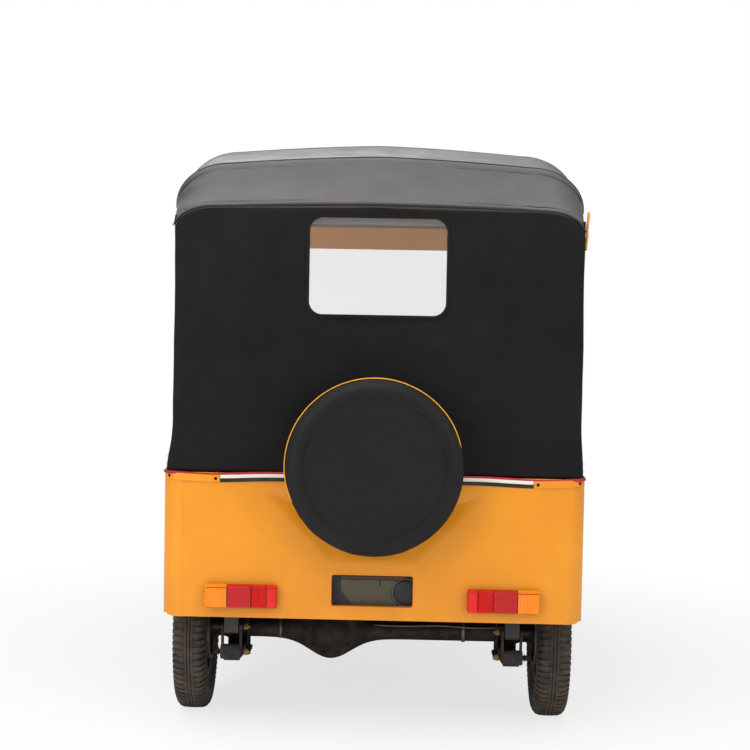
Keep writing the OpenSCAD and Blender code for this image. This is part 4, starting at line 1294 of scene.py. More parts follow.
def cover_point(angle, reach, lift=0.0):
    """A point of the spare's cover: reach 0 to 1 over its face, 1 to 2 down its side."""
    radial = Vector((math.cos(angle), 0, math.sin(angle)))
    if reach <= 1.0:
        rim = smoothstep(0.80, 1.0, reach)
        radius = (COVER_R - 0.004) * reach
        y = COVER_Y - 0.0045 - 0.016 * rim ** 3 - 0.006 * smoothstep(0.0, 0.35, 0.42 - reach)
    else:
        down = reach - 1.0
        radius = COVER_R - 0.004 + 0.002 * math.sin(down * math.pi) - 0.012 * smoothstep(0.75, 1.0, down)
        y = COVER_Y - 0.0205 - 0.078 * down
    left = 0.5 + 0.5 * math.cos(angle)
    place = Vector((math.cos(angle) * min(reach, 1.0), math.sin(angle) * min(reach, 1.0), reach))
    soft = noise.noise(place * 2.4 + Vector((4, 2, 7)))
    drawn = noise.noise(Vector((angle * 5.5, reach * 2.2, 3.3)))
    fold = noise.noise(Vector((place.x * 3 + place.y * 6, place.x * 5 - place.y * 2, 9.9)))
    amount = smoothstep(0.05, 0.5, reach)
    inward = 0.0022 * abs(soft) + 0.0030 * left * abs(fold) * amount + 0.0022 * abs(drawn) * smoothstep(0.7, 1.1, reach)
    if reach <= 1.0:
        y -= inward
        radius += lift * smoothstep(0.9, 1.0, reach)
        y += lift
    else:
        radius -= inward * 0.8
        radius += lift
    return SPARE_AT + radial * radius + Vector((0, y, 0))


def make_spare_cover():
    steps, rings = 160, 62
    reaches = [0.985 * (k / 40) ** 0.9 for k in range(1, 41)] + [1.0 + (k + 1) / 22 for k in range(22)]
    verts, faces = [cover_point(0, 0)], []
    for reach in reaches:
        for i in range(steps):
            verts.append(cover_point(2 * math.pi * i / steps, reach))
    for i in range(steps):
        faces.append((0, 1 + i, 1 + (i + 1) % steps))
    for j in range(len(reaches) - 1):
        for i in range(steps):
            a, b = 1 + j * steps + i, 1 + j * steps + (i + 1) % steps
            faces.append((a, a + steps, b + steps, b))
    cover = piece("spare_cover_vinyl", verts, faces, COVER, outward=False)
    face_up(cover, (0, 1, 0))
    sheet_solid(cover, 0.0016, -1.0)
    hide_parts("spare_cover")
    welt = []
    for i in range(160):
        angle = 2 * math.pi * i / 160
        shown = smoothstep(-0.5, 0.3, math.sin(angle) + 0.35 * math.cos(angle))
        welt.append(cover_point(angle, 1.0, mix(-0.0060, 0.0006, shown)))
    ring = [cover_point(2 * math.pi * i / 160, 0.80, 0.0002) for i in range(160)]
    cords = merged("spare_cover_piping", [sweep_part(welt, 0.0016, 8, True)], YELLOW_PIPING)
    inner = merged("spare_cover_welt", [sweep_part(ring, 0.0018, 8, True)], COVER)
    gather = []
    for i in range(161):
        angle = 2 * math.pi * i / 160
        gather.append(cover_point(angle, 1.97, 0.0015 * math.sin(angle * 40)))
    hem = merged("spare_cover_hem", [sweep_part(gather[:-1], 0.0036, 8, True)], COVER)
    row = [cover_point(2 * math.pi * i / 320, 0.955, 0.0006) for i in range(321)]
    thread = merged("spare_cover_stitches", [stitches_along(row, BINDING, 0.008, 0.005, 0.0010)], BINDING)
    return cover, cords, inner, hem, thread


# -------------------------------------------------------------------- wheels


def tyre_profile():
    """(radius, across) round a tyre's section, from the inner bead over the tread."""
    half = TYRE_W / 2
    top = TYRE_R - 0.006
    return (
        (0.160, -0.034), (0.172, -0.037), (0.180, -0.0445), (0.196, -0.0515), (0.214, -half + 0.0006),
        (0.228, -half + 0.0010), (0.240, -half + 0.0045), (0.250, -half + 0.0100), (0.2575, -0.0370),
        (top, -0.0300), (top + 0.0012, -0.0140), (top + 0.0016, 0.0), (top + 0.0012, 0.0140),
        (top, 0.0300), (0.2575, 0.0370), (0.250, half - 0.0100), (0.240, half - 0.0045),
        (0.228, half - 0.0010), (0.214, half - 0.0006), (0.196, 0.0515), (0.180, 0.0445),
        (0.172, 0.037), (0.160, 0.034),
    )


def lug_part(sign, start, end):
    """One shoulder lug of the tread, wrapped over the shoulder."""
    half = TYRE_W / 2
    path = (
        (TYRE_R - 0.0012, 0.0150), (TYRE_R - 0.0015, 0.0300), (TYRE_R - 0.0060, 0.0410),
        (TYRE_R - 0.0150, half - 0.0050), (TYRE_R - 0.0255, half - 0.0008),
    )
    verts, faces = [], []
    for index, (radius, across) in enumerate(path):
        lean = (index / (len(path) - 1)) * 0.012
        deep = 0.0085
        for angle in (start + lean, end + lean):
            for sunk in (0.0, deep):
                r = radius - sunk * (1.0 if index < 3 else 0.5)
                x = across - sunk * (0.0 if index < 3 else 0.8)
                verts.append((r * math.cos(angle), r * math.sin(angle), sign * x))
    for k in range(len(path) - 1):
        a = k * 4
        faces.append((a, a + 2, a + 6, a + 4))
        faces.append((a + 1, a + 5, a + 7, a + 3))
        faces.append((a, a + 4, a + 5, a + 1))
        faces.append((a + 2, a + 3, a + 7, a + 6))
    faces.append((0, 1, 3, 2))
    last = 4 * (len(path) - 1)
    faces.append((last, last + 2, last + 3, last + 1))
    return verts, faces


def make_tyre(name, centre, axis, body):
    """A ribbed tyre: smooth middle ribs between grooves, and lugs over both shoulders."""
    count = 76
    pitch = 2 * math.pi / count
    carcass = lathe_part(tyre_profile(), 144)
    ribs = []
    for across in (-0.0105, 0.0, 0.0105):
        half = 0.0038
        top = TYRE_R - 0.0004
        section = [
            (top - 0.009, across - half), (top - 0.0006, across - half), (top, across - half + 0.0007),
            (top, across + half - 0.0007), (top - 0.0006, across + half), (top - 0.009, across + half),
        ]
        ribs.append(lathe_part(section, 144))
    lugs = [ring_of(lug_part(sign, offset, offset + pitch * 0.62), count, TYRE) for sign, offset in ((1, 0.0), (-1, pitch / 2))]
    rings = []
    for sign in (-1, 1):
        for radius, across in ((0.206, 0.0530), (0.188, 0.0487)):
            rings.append(lathe_part([(radius + 0.0012 * math.cos(t), sign * across + 0.0012 * math.sin(t)) for t in (0, 1.05, 2.09, 3.14, 4.19, 5.24)], 96))
    at = axis_matrix(centre, axis)
    tyre = merged(name, [moved(p, at) for p in [carcass] + ribs + lugs + rings], TYRE, body)
    sharpen(tyre, 32)
    return tyre


def make_rim_details(name, centre, axis, body, outward_face):
    """Nuts, a dust cap and a valve on one wheel; the axis points to its outer side."""
    at = axis_matrix(centre, axis)
    nuts = ring_of(moved(hex_part(0.019, 0.012, 0.0045), Matrix.Translation((0.050, 0, outward_face))), 5, SCREW)
    cap_profile = [(0.0, 0.030), (0.016, 0.029), (0.023, 0.024), (0.026, 0.015), (0.026, -0.004), (0.0, -0.004)]
    cap = lathe_part([(r, z + outward_face) for r, z in cap_profile], 32, False)
    lip = lathe_part([
        (0.158 + 0.0035 * math.cos(t), 0.0375 + 0.0035 * math.sin(t)) for t in [math.pi * k / 5 for k in range(10)]
    ], 96)
    inner_lip = lathe_part([
        (0.158 + 0.0035 * math.cos(t), -0.0375 + 0.0035 * math.sin(t)) for t in [math.pi * k / 5 for k in range(10)]
    ], 96)
    valve = sweep_part([(0.128, 0, outward_face + 0.002), (0.134, 0, 0.022), (0.138, 0, 0.040)], 0.0032, 10)
    bright = merged(name + "_nuts", [moved(p, at) for p in (nuts, cap)], SCREW, body)
    sharpen(bright, 30)
    lips = merged(name + "_lips", [moved(p, at) for p in (lip, inner_lip)], STEEL, body)
    stem = merged(name + "_valve", [moved(valve, at)], RUBBER, body)
    return bright, lips, stem


# ------------------------------------------------------- running gear details


def make_axle():
    """Axle tubes that flare smoothly into the offset differential, with its bolted cover."""
    low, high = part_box("rear_axle")
    banjo_x = 0.136
    centre = Vector((0, REAR_AXLE_Y, AXLE_Z))
    verts, faces = [], []
    stations = []
    end = high.x - 0.006
    for i in range(141):
        x = mix(-end, end, i / 140)
        flare = math.exp(-((x - banjo_x) / 0.0937) ** 2)
        pad = 1 - smoothstep(0.0, 0.020, abs(abs(x) - 0.470))
        radius = 0.0315 + 0.067 * flare + 0.006 * pad
        stations.append((x, radius, flare))
    steps = 40
    for x, radius, flare in stations:
        for k in range(steps):
            t = 2 * math.pi * k / steps
            y = math.cos(t) * mix(radius, min(radius, 0.062), flare)
            verts.append((x, centre.y + y, centre.z + math.sin(t) * radius))
    for i in range(len(stations) - 1):
        for k in range(steps):
            a, b = i * steps + k, i * steps + (k + 1) % steps
            faces.append((a, a + steps, b + steps, b))
    faces.append(tuple(range(steps)))
    faces.append(tuple((len(stations) - 1) * steps + k for k in range(steps))[::-1])
    tube = (verts, faces)
    ends = []
    for sign in (-1, 1):
        drum = [
            (0.0, -0.004), (0.088, -0.004), (0.092, 0.0), (0.092, 0.006), (0.070, 0.007), (0.034, 0.014), (0.034, 0.060), (0.0, 0.060),
        ]
        at = axis_matrix((sign * high.x * 0 + sign * (end - 0.001), centre.y, centre.z), (-sign, 0, 0))
        ends.append(moved(lathe_part(drum, 48, False), at))
        spindle = sweep_part([(sign * (end - 0.01), centre.y, centre.z), (sign * (WHEEL_X + 0.022), centre.y, centre.z)], 0.0165, 24)
        ends.append(spindle)
    cover_profile = [(0.0, 0.046), (0.026, 0.044), (0.050, 0.033), (0.066, 0.012), (0.080, 0.008), (0.082, 0.0), (0.0, 0.0)]
    cover_at = axis_matrix((banjo_x, centre.y + 0.050, centre.z), (0, 1, 0))
    cover = moved(lathe_part(cover_profile, 48, False), cover_at)
    nose = moved(lathe_part([(0.0, 0.0), (0.072, 0.0), (0.060, 0.030), (0.042, 0.062), (0.040, 0.080), (0.0, 0.080)], 40, False), axis_matrix((banjo_x, centre.y - 0.050, centre.z), (0, -1, 0)))
    axle = merged("rear_axle_casing", [tube, cover, nose] + ends, DARK_STEEL)
    sharpen(axle, 40)
    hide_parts("rear_axle")
    heads = ring_of(moved(hex_part(0.010, 0.006), Matrix.Translation((0.074, 0, 0.0085))), 10, SCREW)
    bolts = merged("axle_cover_bolts", [moved(heads, cover_at)], SCREW)
    sharpen(bolts, 30)
    clips = []
    for x in (-0.30, 0.30):
        clips.append(moved(lathe_part([(0.0325, -0.006), (0.0350, -0.006), (0.0350, 0.006), (0.0325, 0.006)], 32), axis_matrix((x, centre.y, centre.z), (1, 0, 0))))
    pipe = sweep_part([
        (x, centre.y + 0.030 + 0.003 * math.sin(x * 31), centre.z + 0.020 + 0.002 * math.sin(x * 23))
        for x in [mix(-0.44, 0.02, k / 40) for k in range(41)]
    ], 0.0028, 8)
    line = merged("brake_pipe", [pipe] + clips, STEEL)
    return axle, bolts, line


def make_spring_details():
    """U-bolts over the axle, clips round the leaves, and bright nuts on the shackle bolts."""
    low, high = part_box("leaf_springs")
    spring_x = (high.x + 0.413) / 2
    bolts, clips, nuts, plates, dark_nuts, bushes = [], [], [], [], [], []
    shackle_low, shackle_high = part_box("spring_shackles")
    for sign in (-1, 1):
        for dy in (-0.040, 0.040):
            arch = []
            top = AXLE_Z + 0.034
            for k in range(13):
                t = math.pi * k / 12
                arch.append((sign * spring_x + 0.029 * math.cos(t), REAR_AXLE_Y + dy, top + 0.012 * math.sin(t)))
            path = [(sign * spring_x + 0.029, REAR_AXLE_Y + dy, 0.182)] + arch + [(sign * spring_x - 0.029, REAR_AXLE_Y + dy, 0.182)]
            bolts.append(sweep_part(path, 0.0052, 10))
            for side in (-1, 1):
                at = Matrix.Translation((sign * spring_x + side * 0.029, REAR_AXLE_Y + dy, 0.186))
                dark_nuts.append(moved(hex_part(0.015, 0.009), at))
        plates.append(box_part((sign * spring_x - 0.040, REAR_AXLE_Y - 0.055, 0.1905), (sign * spring_x + 0.040, REAR_AXLE_Y + 0.055, 0.1965)))
        for dy in (-0.205, 0.205):
            z0 = 0.2115 + 0.02 * abs(dy)
            ring = [(u + sign * spring_x, v) for u, v in rounded_outline(0.056, 0.026, 0.003, 3)]
            hole = [(u + sign * spring_x, v) for u, v in rounded_outline(0.0515, 0.0215, 0.002, 3)]
            clips.append(moved(ring_plate_part(ring, hole, -0.010, 0.010), Matrix.Translation((0, REAR_AXLE_Y + dy, z0 + 0.012)) @ REAR))
        eye_y, eye_z = 1.2083, 0.2495
        top_y, top_z = 1.2183, 0.3315
        for y, z in ((eye_y, eye_z), (top_y, top_z), (0.5883, 0.2495)):
            for side in (-1, 1):
                face = sign * spring_x + side * 0.0424
                into = nuts if side * sign < 0 else dark_nuts
                into.append(moved(hex_part(0.0155, 0.010, 0.0042), axis_matrix((face - side * 0.002, y, z), (side, 0, 0))))
        for y, z in ((eye_y, eye_z), (0.5883, 0.2495)):
            bush = [(0.0, -0.031), (0.021, -0.031), (0.0235, -0.028), (0.0235, 0.028), (0.021, 0.031), (0.0, 0.031)]
            bushes.append(moved(lathe_part(bush, 32, False), axis_matrix((sign * (spring_x + 0.004), y, z), (1, 0, 0))))
    u_bolts = merged("spring_u_bolts", bolts + plates, DARK_STEEL)
    leaf_clips = merged("leaf_clips", clips, DARK_STEEL)
    round_edges(leaf_clips, 0.0006, 1)
    bright = merged("spring_nuts", nuts, BRASS)
    sharpen(bright, 30)
    dull = merged("spring_outer_nuts", dark_nuts, SCREW)
    sharpen(dull, 30)
    rubber_eyes = merged("spring_bushes", bushes, RUBBER)
    sharpen(rubber_eyes, 40)
    return u_bolts, leaf_clips, bright, dull, rubber_eyes


def make_hatch_view():
    """What shows through the small rear opening: a grey panel, a black plate painted as the shade in its slot, a black
    board painted as the shade behind it, and a filter bowl.
    """
    at = Matrix.Translation((0, REAR_Y - 0.0215, HATCH_Z)) @ REAR
    outline = (
        (0.096, 0.032), (-0.074, 0.032), (-0.067, 0.010), (-0.063, -0.012),
        (-0.070, -0.034), (-0.078, -0.049), (0.060, -0.049), (0.096, -0.005),
    )
    panel = merged("inner_panel", [moved(plate_part(outline, -0.0015, 0.0, 0.0006), at)], TANK_PAINT)
    # Painted shade: a black plate stands in for the dark inside of the panel's slot.
    slot_shade_plate = moved(plate_part(rounded_outline(0.0055, 0.024, 0.0025, 4), -0.001, 0.0010), at @ Matrix.Translation((-0.0245, 0.023, 0)))
    # Painted shade: a black board behind the panel stands in for the dark inside of the body.
    back = moved(box_part((-0.126, -0.050, -0.0026), (0.126, 0.050, -0.0018)), at)
    bowl_at = at @ Matrix.Translation((-0.105, -0.006, -0.001))
    bowl = moved(lathe_part([(0.0, 0.011), (0.020, 0.0105), (0.034, 0.008), (0.041, 0.003), (0.042, 0.0), (0.0, 0.0)], 40, False), bowl_at)
    dark = merged("inner_shadow_board", [slot_shade_plate, back, bowl], BLACK_PLASTIC)
    sharpen(dark, 40)
    band = lathe_part([(0.0425 + 0.0012 * math.cos(t), 0.003 + 0.0012 * math.sin(t)) for t in (0, 1.05, 2.09, 3.14, 4.19, 5.24)], 48)
    clamp = merged("filter_bowl_clamp", [moved(band, bowl_at)], STEEL)
    # The return under the opening's top edge is yellow sheet; it is coloured brown as painted shade.
    ledge = merged("hatch_return", [moved(box_part((-0.100, 0.034, 0.0), (0.096, 0.044, 0.006)), at)], RETURN_SHADE_BROWN, smooth=False)
    return panel, dark, clamp, ledge


# -------------------------------------------------------------- seat cushions


def crowned_block(low, high, crown, rows=26, columns=40):
    """A closed box grid with soft corners and a crowned top, ready to be inflated."""
    work = bmesh.new()
    bmesh.ops.create_cube(work, size=1.0)
    bmesh.ops.subdivide_edges(work, edges=work.edges[:], cuts=10, use_grid_fill=True)
    size = Vector(high) - Vector(low)
    centre = (Vector(high) + Vector(low)) / 2
    for vert in work.verts:
        p = vert.co * 2
        soft = Vector((
            p.x * math.sqrt(max(0, 1 - 0.10 * p.y ** 2 * p.z ** 2)),
            p.y * math.sqrt(max(0, 1 - 0.10 * p.x ** 2 * p.z ** 2)),
            p.z,
        ))
        bulge = crown * (1 - p.x ** 4) * (1 - p.y ** 4) * (p.z > 0) * p.z
        vert.co = centre + Vector((soft.x * size.x / 2, soft.y * size.y / 2, soft.z * size.z / 2 + bulge))
    mesh = bpy.data.meshes.new("block")
    work.to_mesh(mesh)
    work.free()
    made = ([v.co.copy() for v in mesh.vertices], [tuple(f.vertices) for f in mesh.polygons])
    bpy.data.meshes.remove(mesh)
    return made


def inflate(obj, voxel, cap, pressure=4.0):
    """Swells a cushion as an air-filled cloth, no point moving further than the cap."""
    remesh = obj.modifiers.new("skin", "REMESH")
    remesh.mode = "VOXEL"
    remesh.voxel_size = voxel
    bake_modifiers(obj)
    start = [v.co.copy() for v in obj.data.vertices]
    swell = obj.modifiers.new("swell", "CLOTH")
    swell.settings.use_pressure = True
    swell.settings.uniform_pressure_force = pressure
    swell.settings.effector_weights.gravity = 0
    swell.settings.quality = 5
    swell.point_cache.frame_start = 1
    swell.point_cache.frame_end = 20
    for number in range(1, 21):
        scene.frame_set(number)
    bake_modifiers(obj)
    scene.frame_set(1)
    if len(start) == len(obj.data.vertices):
        for vert, origin in zip(obj.data.vertices, start):
            step = vert.co - origin
            if step.length > cap:
                vert.co = origin + step * (cap / step.length)
    return obj


def fit_inside(obj, low, high):
    """Keeps a cushion inside its CAD box."""
    for vert in obj.data.vertices:
        vert.co = Vector([min(max(c, a), b) for c, a, b in zip(vert.co, low, high)])


def make_cushion(name, node, inset, face, channels, cap, voxel=0.0065):
    """One cushion: the swollen pad with sewn channels, and piping round its seam."""
    low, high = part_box(node)
    start_low = [a + inset for a in low]
    start_high = [b - inset for b in high]
    verts, faces = crowned_block(start_low, start_high, 0.004)
    pad = piece(name, verts, faces, SEAT)
    inflate(pad, voxel, cap)
    fit_inside(pad, [a + 0.0008 for a in low], [b - 0.0008 for b in high])
    smooth = pad.modifiers.new("relax", "SMOOTH")
    smooth.iterations = 6
    smooth.factor = 0.6
    bake_modifiers(pad)
    for vert in pad.data.vertices:
        p = vert.co
        for place in channels:
            away = abs(p.x - place)
            sink = 0.008 * math.exp(-(away / 0.006) ** 2)
            if face == "top" and p.z > mix(low.z, high.z, 0.55):
                p.z -= sink
            if face == "front" and p.y < mix(low.y, high.y, 0.45):
                p.y += sink
    for face_item in pad.data.polygons:
        face_item.use_smooth = True
    fine = pad.modifiers.new("fine", "SUBSURF")
    fine.levels = fine.render_levels = 1
    bake_modifiers(pad)
    fit_inside(pad, [a + 0.0008 for a in low], [b - 0.0008 for b in high])
    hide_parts(node)
    width, depth = high.x - low.x, high.y - low.y
    middle = Vector(((low.x + high.x) / 2, (low.y + high.y) / 2, 0))
    if face == "top":
        z = low.z + (high.z - low.z) * 0.70
        outline = rounded_outline(width - 0.020, depth - 0.020, 0.040, 8)
        path = [(middle.x + u, middle.y + v, z) for u, v in outline]
    else:
        y = low.y + 0.016
        outline = rounded_outline(width - 0.020, high.z - low.z - 0.020, 0.045, 8)
        centre_z = (low.z + high.z) / 2
        path = [(middle.x + u, y, centre_z + v) for u, v in outline]
    cord = merged(name + "_piping", [sweep_part(path, 0.0042, 8, True)], BINDING)
    return pad, cord


# --------------------------------------------------------------- front pieces

LIGHTS_LOW, LIGHTS_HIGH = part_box("headlamps")
LIGHT_Z = (LIGHTS_LOW.z + LIGHTS_HIGH.z) / 2
LIGHT_R = (LIGHTS_HIGH.z - LIGHTS_LOW.z) / 2
LIGHT_X = LIGHTS_HIGH.x - LIGHT_R
COWL_LOW, COWL_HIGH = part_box("front_cowl")


def make_headlamps():
    made = []
    for name, sign in (("left", 1), ("right", -1)):
        at = axis_matrix((sign * LIGHT_X, LIGHTS_LOW.y + 0.004, LIGHT_Z), (0, -1, 0))
        bowl = [
            (LIGHT_R - 0.002, -0.110), (LIGHT_R - 0.001, -0.020), (LIGHT_R, -0.012), (LIGHT_R, -0.004),
            (LIGHT_R - 0.005, 0.001), (LIGHT_R - 0.011, 0.0), (LIGHT_R - 0.013, -0.006),
            (LIGHT_R * 0.72, -0.030), (LIGHT_R * 0.42, -0.046), (0.016, -0.052), (0.0, -0.052), (0.0, -0.110),
        ]
        shell = merged("headlamp_bowl_" + name, [moved(lathe_part(bowl, 56, False), at)], CHROME)
        sharpen(shell, 40)
        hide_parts("headlamps")
        front = [((LIGHT_R - 0.012) * math.sin(t), -0.009 + 0.010 * math.cos(t)) for t in [math.pi / 2 * k / 10 for k in range(11)]]
        back = [(r, z - 0.0025) for r, z in reversed(front)]
        glass = merged("headlamp_lens_" + name, [moved(lathe_part(front + back, 56, False), at)], LAMP_GLASS)
        flutes = []
        for k in range(-6, 7):
            u = k * 0.0088
            half = math.sqrt(max(0.0, (LIGHT_R - 0.016) ** 2 - u * u))
            points = []
            for j in range(15):
                v = mix(-half, half, j / 14)
                r = math.hypot(u, v) / (LIGHT_R - 0.012)
                points.append(at @ Vector((u, v, -0.0085 + 0.010 * math.sqrt(max(0.0, 1 - r * r)) + 0.0004)))
            flutes.append(sweep_part(points, 0.0014, 6))
        ribs = merged("headlamp_flutes_" + name, flutes, LAMP_GLASS)
        bulb = merged("headlamp_bulb_" + name, [moved(lathe_part([(0.0, -0.052), (0.008, -0.050), (0.010, -0.036), (0.007, -0.026), (0.0, -0.022)], 24, False), at)], GREY_PLASTIC)
        made += [shell, glass, ribs, bulb]
    return made


def make_front_trim():
    """Indicators under the headlamps, the screen's seal and its wiper."""
    cowl_y = COWL_LOW.y
    parts = []
    for sign in (-1, 1):
        dome = [(0.0, 0.020), (0.012, 0.019), (0.022, 0.014), (0.026, 0.005), (0.027, -0.004), (0.0, -0.004)]
        parts.append(moved(lathe_part(dome, 32, False), axis_matrix((sign * 0.440, cowl_y + 0.060, 0.720), (sign * 0.35, -1, 0))))
    lamps = merged("front_indicators", parts, AMBER)
    screen_low, screen_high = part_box("windscreen_frame")
    glass_low, glass_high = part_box("windscreen_glass")
    lean = math.atan2(glass_high.y - glass_low.y, glass_high.z - glass_low.z)
    middle = Vector((0, (glass_low.y + glass_high.y) / 2, (glass_low.z + glass_high.z) / 2))
    tall = math.hypot(glass_high.z - glass_low.z, glass_high.y - glass_low.y)
    wide = glass_high.x - glass_low.x
    plane = Matrix.Translation(middle) @ Matrix.Rotation(-lean, 4, "X") @ Matrix.Rotation(math.pi / 2, 4, "X")
    path = [plane @ Vector((u, v, 0.004)) for u, v in rounded_outline(wide - 0.012, tall - 0.022, 0.035, 8)]
    seal = merged("screen_seal", [sweep_part(path, 0.0065, 10, True)], RUBBER)
    pivot = plane @ Vector((-0.14, -tall / 2 + 0.005, 0.012))
    tip = plane @ Vector((0.16, -tall / 2 + 0.085, 0.014))
    arm = sweep_part([pivot.lerp(tip, t) + Vector((0, -0.006 * math.sin(math.pi * t), 0)) for t in [k / 12 for k in range(13)]], 0.0034, 8)
    blade_low = plane @ Vector((0.0, -tall / 2 + 0.045, 0.010))
    blade_high = plane @ Vector((0.32, -tall / 2 + 0.105, 0.010))
    blade = sweep_part([blade_low.lerp(blade_high, k / 10) for k in range(11)], 0.0042, 6)
    boss = moved(lathe_part([(0.0, 0.012), (0.010, 0.010), (0.013, 0.0), (0.0, 0.0)], 24, False), axis_matrix(pivot, (plane.to_3x3() @ Vector((0, 0, 1)))))
    wiper = merged("screen_wiper", [arm, blade, boss], BLACK_PLASTIC)
    return lamps, seal, wiper


def make_mirrors():
    low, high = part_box("mirrors")
    z = (low.z + high.z) / 2
    glasses, shells = [], []
    width = 0.110
    for sign in (-1, 1):
        x = sign * (high.x - width / 2 + 0.0)
        at = Matrix.Translation((x, high.y, z)) @ REAR
        verts, faces = plate_part(rounded_outline(width - 0.014, 0.136, 0.018, 6), -0.002, 0.0006, 0.0006)
        glasses.append(moved((verts, faces), at))
        shells.append(moved(ring_plate_part(rounded_outline(width, 0.150, 0.022, 6), rounded_outline(width - 0.012, 0.138, 0.018, 6), -0.006, 0.0018), at))
    faces_piece = merged("mirror_glasses", glasses, MIRROR)
    rims = merged("mirror_rims", shells, BLACK_PLASTIC)
    round_edges(rims, 0.0010, 2)
    return faces_piece, rims


def make_handlebar_parts():
    """Ribbed grips, levers and switch housings; all turn with the steering."""
    low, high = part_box("handlebar")
    y, z = (low.y + high.y) / 2, high.z - 0.012
    grips, levers, housings = [], [], []
    for sign in (-1, 1):
        section = []
        for k in range(27):
            section.append((0.0155 + (0.0016 if k % 2 else 0.0), 0.0045 * k))
        profile = [(0.0, 0.0)] + section + [(0.0175, 0.121), (0.0, 0.122)]
        at = axis_matrix((sign * (high.x - 0.122), y, z), (sign, 0, 0))
        grips.append(moved(lathe_part(profile, 32, False), at))
        points = [(sign * (high.x - 0.150 + 0.130 * t), y - 0.030 - 0.030 * math.sin(t * 2.6), z - 0.004) for t in [k / 14 for k in range(15)]]
        levers.append(sweep_part(points, 0.0048, 10))
        housings.append(moved(plate_part(rounded_outline(0.046, 0.040, 0.010, 5), -0.020, 0.020, 0.004), Matrix.Translation((sign * (high.x - 0.152), y, z)) @ REAR))
    grip = merged("hand_grips", grips, RUBBER, "steering")
    sharpen(grip, 40)
    lever = merged("hand_levers", levers, STEEL, "steering")
    housing = merged("switch_housings", housings, BLACK_PLASTIC, "steering")
    sharpen(housing, 40)
    return grip, lever, housing


# ---------------------------------------------------------- floor and interior


def make_floor_mats():
    """Ribbed rubber mats for the driver and for the passengers."""
    pan_low, pan_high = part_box("floor_pan")
    parts = []
    mats = ((-0.56, -0.16, -0.690, -0.345), (0.16, 0.56, -0.690, -0.345), (-0.56, 0.56, 0.130, 0.540))
    top = 0.392
    for x0, x1, y0, y1 in mats:
        parts.append(box_part((x0, y0, top), (x1, y1, top + 0.0025)))
        count = int((x1 - x0) / 0.018)
        rib = box_part((-0.003, y0 + 0.004, 0), (0.003, y1 - 0.004, 0.0022))
        spots = [(x0 + 0.012 + k * (x1 - x0 - 0.024) / (count - 1), 0, top + 0.0024) for k in range(count)]
        parts.append(copies_at(rib, spots, MAT))
    mat = merged("floor_mats", parts, MAT, smooth=False)
    return mat


# ------------------------------------------------------------- camera and light

floor_mesh = bpy.data.meshes.new("studio_floor")
floor_mesh.from_pydata([(-60, -60, 0), (60, -60, 0), (60, 60, 0), (-60, 60, 0)], [], [(0, 1, 2, 3)])
studio_floor = bpy.data.objects.new("studio_floor", floor_mesh)
scene.collection.objects.link(studio_floor)
FLOOR = Nodes("studio_floor")
FLOOR.set(Base_Color=FLOOR.blend(FLOOR.noise(0.4), srgb(246, 246, 246), srgb(250, 250, 250)), Roughness=0.95)
FLOOR.set(Specular_IOR_Level=0.1)
shade_tree = FLOOR.tree
glow = FLOOR.add("ShaderNodeEmission")
glow.inputs["Strength"].default_value = 1.0
reach = FLOOR.add("ShaderNodeVectorMath", operation="LENGTH")
FLOOR.link(FLOOR.place, reach.inputs[0])
far = FLOOR.span(reach.outputs["Value"], 0.9, 2.4, 0.72, 1.0)
ray = FLOOR.add("ShaderNodeLightPath")
seen_by = FLOOR.math("MAXIMUM", ray.outputs["Is Camera Ray"], ray.outputs["Is Transmission Ray"])
join = FLOOR.add("ShaderNodeMixShader")
FLOOR.link(FLOOR.math("MULTIPLY", far, seen_by), join.inputs["Fac"])
FLOOR.link(FLOOR.shader.outputs[0], join.inputs[1])
FLOOR.link(glow.outputs[0], join.inputs[2])
FLOOR.link(join.outputs[0], shade_tree.nodes["Material Output"].inputs["Surface"])
floor_mesh.materials.append(FLOOR.material)

world = bpy.data.worlds.new("studio_world")
scene.world = world
world.use_nodes = True
sky_tree = world.node_tree
background = sky_tree.nodes["Background"]
background.inputs["Color"].default_value = (1, 1, 1, 1)
background.inputs["Strength"].default_value = 0.42
seen = sky_tree.nodes.new("ShaderNodeBackground")
seen.inputs["Color"].default_value = (1, 1, 1, 1)
seen.inputs["Strength"].default_value = 1.0
path_node = sky_tree.nodes.new("ShaderNodeLightPath")
either = sky_tree.nodes.new("ShaderNodeMath")
either.operation = "MAXIMUM"
sky_tree.links.new(path_node.outputs["Is Camera Ray"], either.inputs[0])
sky_tree.links.new(path_node.outputs["Is Transmission Ray"], either.inputs[1])
choose = sky_tree.nodes.new("ShaderNodeMixShader")
sky_tree.links.new(either.outputs[0], choose.inputs["Fac"])
sky_tree.links.new(background.outputs[0], choose.inputs[1])
sky_tree.links.new(seen.outputs[0], choose.inputs[2])
sky_tree.links.new(choose.outputs[0], sky_tree.nodes["World Output"].inputs["Surface"])


def area_light(name, place, target, size, power):
    data = bpy.data.lights.new(name, "AREA")
    data.shape = "RECTANGLE"
    data.size, data.size_y = size
    data.energy = power
    lamp = bpy.data.objects.new(name, data)
    scene.collection.objects.link(lamp)
    lamp.location = place
    lamp.rotation_euler = (Vector(target) - Vector(place)).to_track_quat("-Z", "Y").to_euler()
    return lamp


area_light("soft_top", (0.6, 2.0, 4.6), (0, 0.6, 0.8), (4.5, 4.5), 120)
area_light("soft_rear_left", (3.6, 5.2, 2.6), (0, 1.0, 0.8), (2.6, 3.2), 90)
area_light("soft_rear_right", (-3.8, 4.6, 2.8), (0, 1.0, 0.9), (2.4, 3.0), 60)
area_light("soft_front", (1.2, -6.0, 3.6), (0, -0.6, 0.9), (3.5, 3.0), 90)

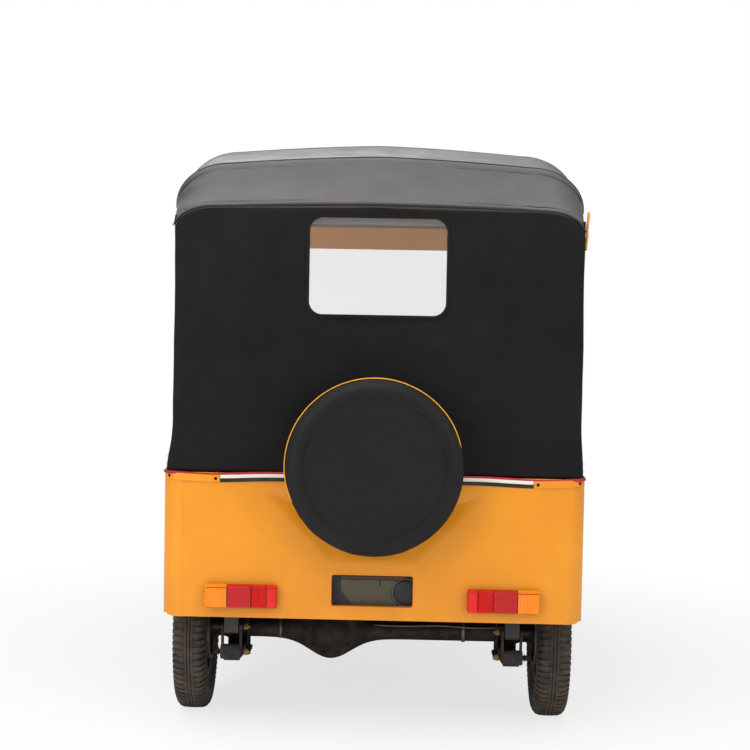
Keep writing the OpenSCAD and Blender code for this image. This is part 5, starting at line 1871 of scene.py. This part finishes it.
eye_data = bpy.data.cameras.new("rear_view")
eye = bpy.data.objects.new("rear_view", eye_data)
scene.collection.objects.link(eye)
eye_data.sensor_width = 36
eye_data.lens = 88.9
eye_data.shift_x = 0.05
eye_data.shift_y = 0.0
yaw, pitch, roll = math.radians(1.53), math.radians(3.59), math.radians(0.98)
ahead = Vector((math.sin(yaw), -math.cos(yaw), 0))
level_right = Vector((-math.cos(yaw), -math.sin(yaw), 0))
look = ahead * math.cos(pitch) - Vector((0, 0, 1)) * math.sin(pitch)
upward = Vector((0, 0, 1)) * math.cos(pitch) + ahead * math.sin(pitch)
right = level_right * math.cos(roll) + upward * math.sin(roll)
top = upward * math.cos(roll) - level_right * math.sin(roll)
eye.matrix_world = Matrix.Translation((-0.033, 6.950, 1.486)) @ Matrix((
    (right.x, top.x, -look.x, 0), (right.y, top.y, -look.y, 0), (right.z, top.z, -look.z, 0), (0, 0, 0, 1),
))
scene.camera = eye
scene.view_settings.view_transform = "Standard"


# ------------------------------------------------------------ all the pieces

skin, lining, roof_size = make_roof()
make_frame()
roof_trim = make_roof_seams()
curtain = make_curtain()
window_trim = make_curtain_trim()
rear_sheet = make_rear_panel()
make_belt()
make_tail_lamps()
cover_parts = make_spare_cover()
for wheel, body, sign in (("rear_left", "rear_wheel_left", 1), ("rear_right", "rear_wheel_right", -1)):
    centre = (sign * WHEEL_X, REAR_AXLE_Y, AXLE_Z)
    tyre = make_tyre("tyre_" + wheel, centre, (sign, 0, 0), body)
    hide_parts("rear_tyre_" + wheel[5:])
    make_rim_details("rim_" + wheel, centre, (sign, 0, 0), body, -0.004)
front_centre = ((FRONT_WHEEL_LOW.x + FRONT_WHEEL_HIGH.x) / 2, FRONT_AXLE_Y, AXLE_Z)
tyre = make_tyre("tyre_front", front_centre, (1, 0, 0), "front_wheel")
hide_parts("front_tyre")
make_rim_details("rim_front", front_centre, (1, 0, 0), "front_wheel", -0.004)
spare_low, spare_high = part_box("spare_tyre")
spare_centre = (0, (spare_low.y + spare_high.y) / 2, (spare_low.z + spare_high.z) / 2)
tyre = make_tyre("tyre_spare", (0, 0, 0), (0, 1, 0), "body")
for vert in tyre.data.vertices:
    vert.co = Vector((vert.co.x * 0.945, vert.co.y * 0.90, vert.co.z * 0.945)) + Vector(spare_centre)
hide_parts("spare_tyre")
make_axle()
make_spring_details()
make_hatch_view()
make_headlamps()
make_front_trim()
make_mirrors()
make_handlebar_parts()
make_floor_mats()
make_cushion("driver_pad", "driver_cushion", 0.012, "top", (-0.15, 0.0, 0.15), 0.024)
make_cushion("driver_back_pad", "driver_backrest", 0.010, "front", (-0.15, 0.0, 0.15), 0.022)
make_cushion("passenger_pad", "passenger_cushion", 0.014, "top", (-0.39, -0.195, 0.0, 0.195, 0.39), 0.028, 0.008)
make_cushion("passenger_back_pad", "passenger_backrest", 0.014, "front", (-0.39, -0.195, 0.0, 0.195, 0.39), 0.028, 0.008)
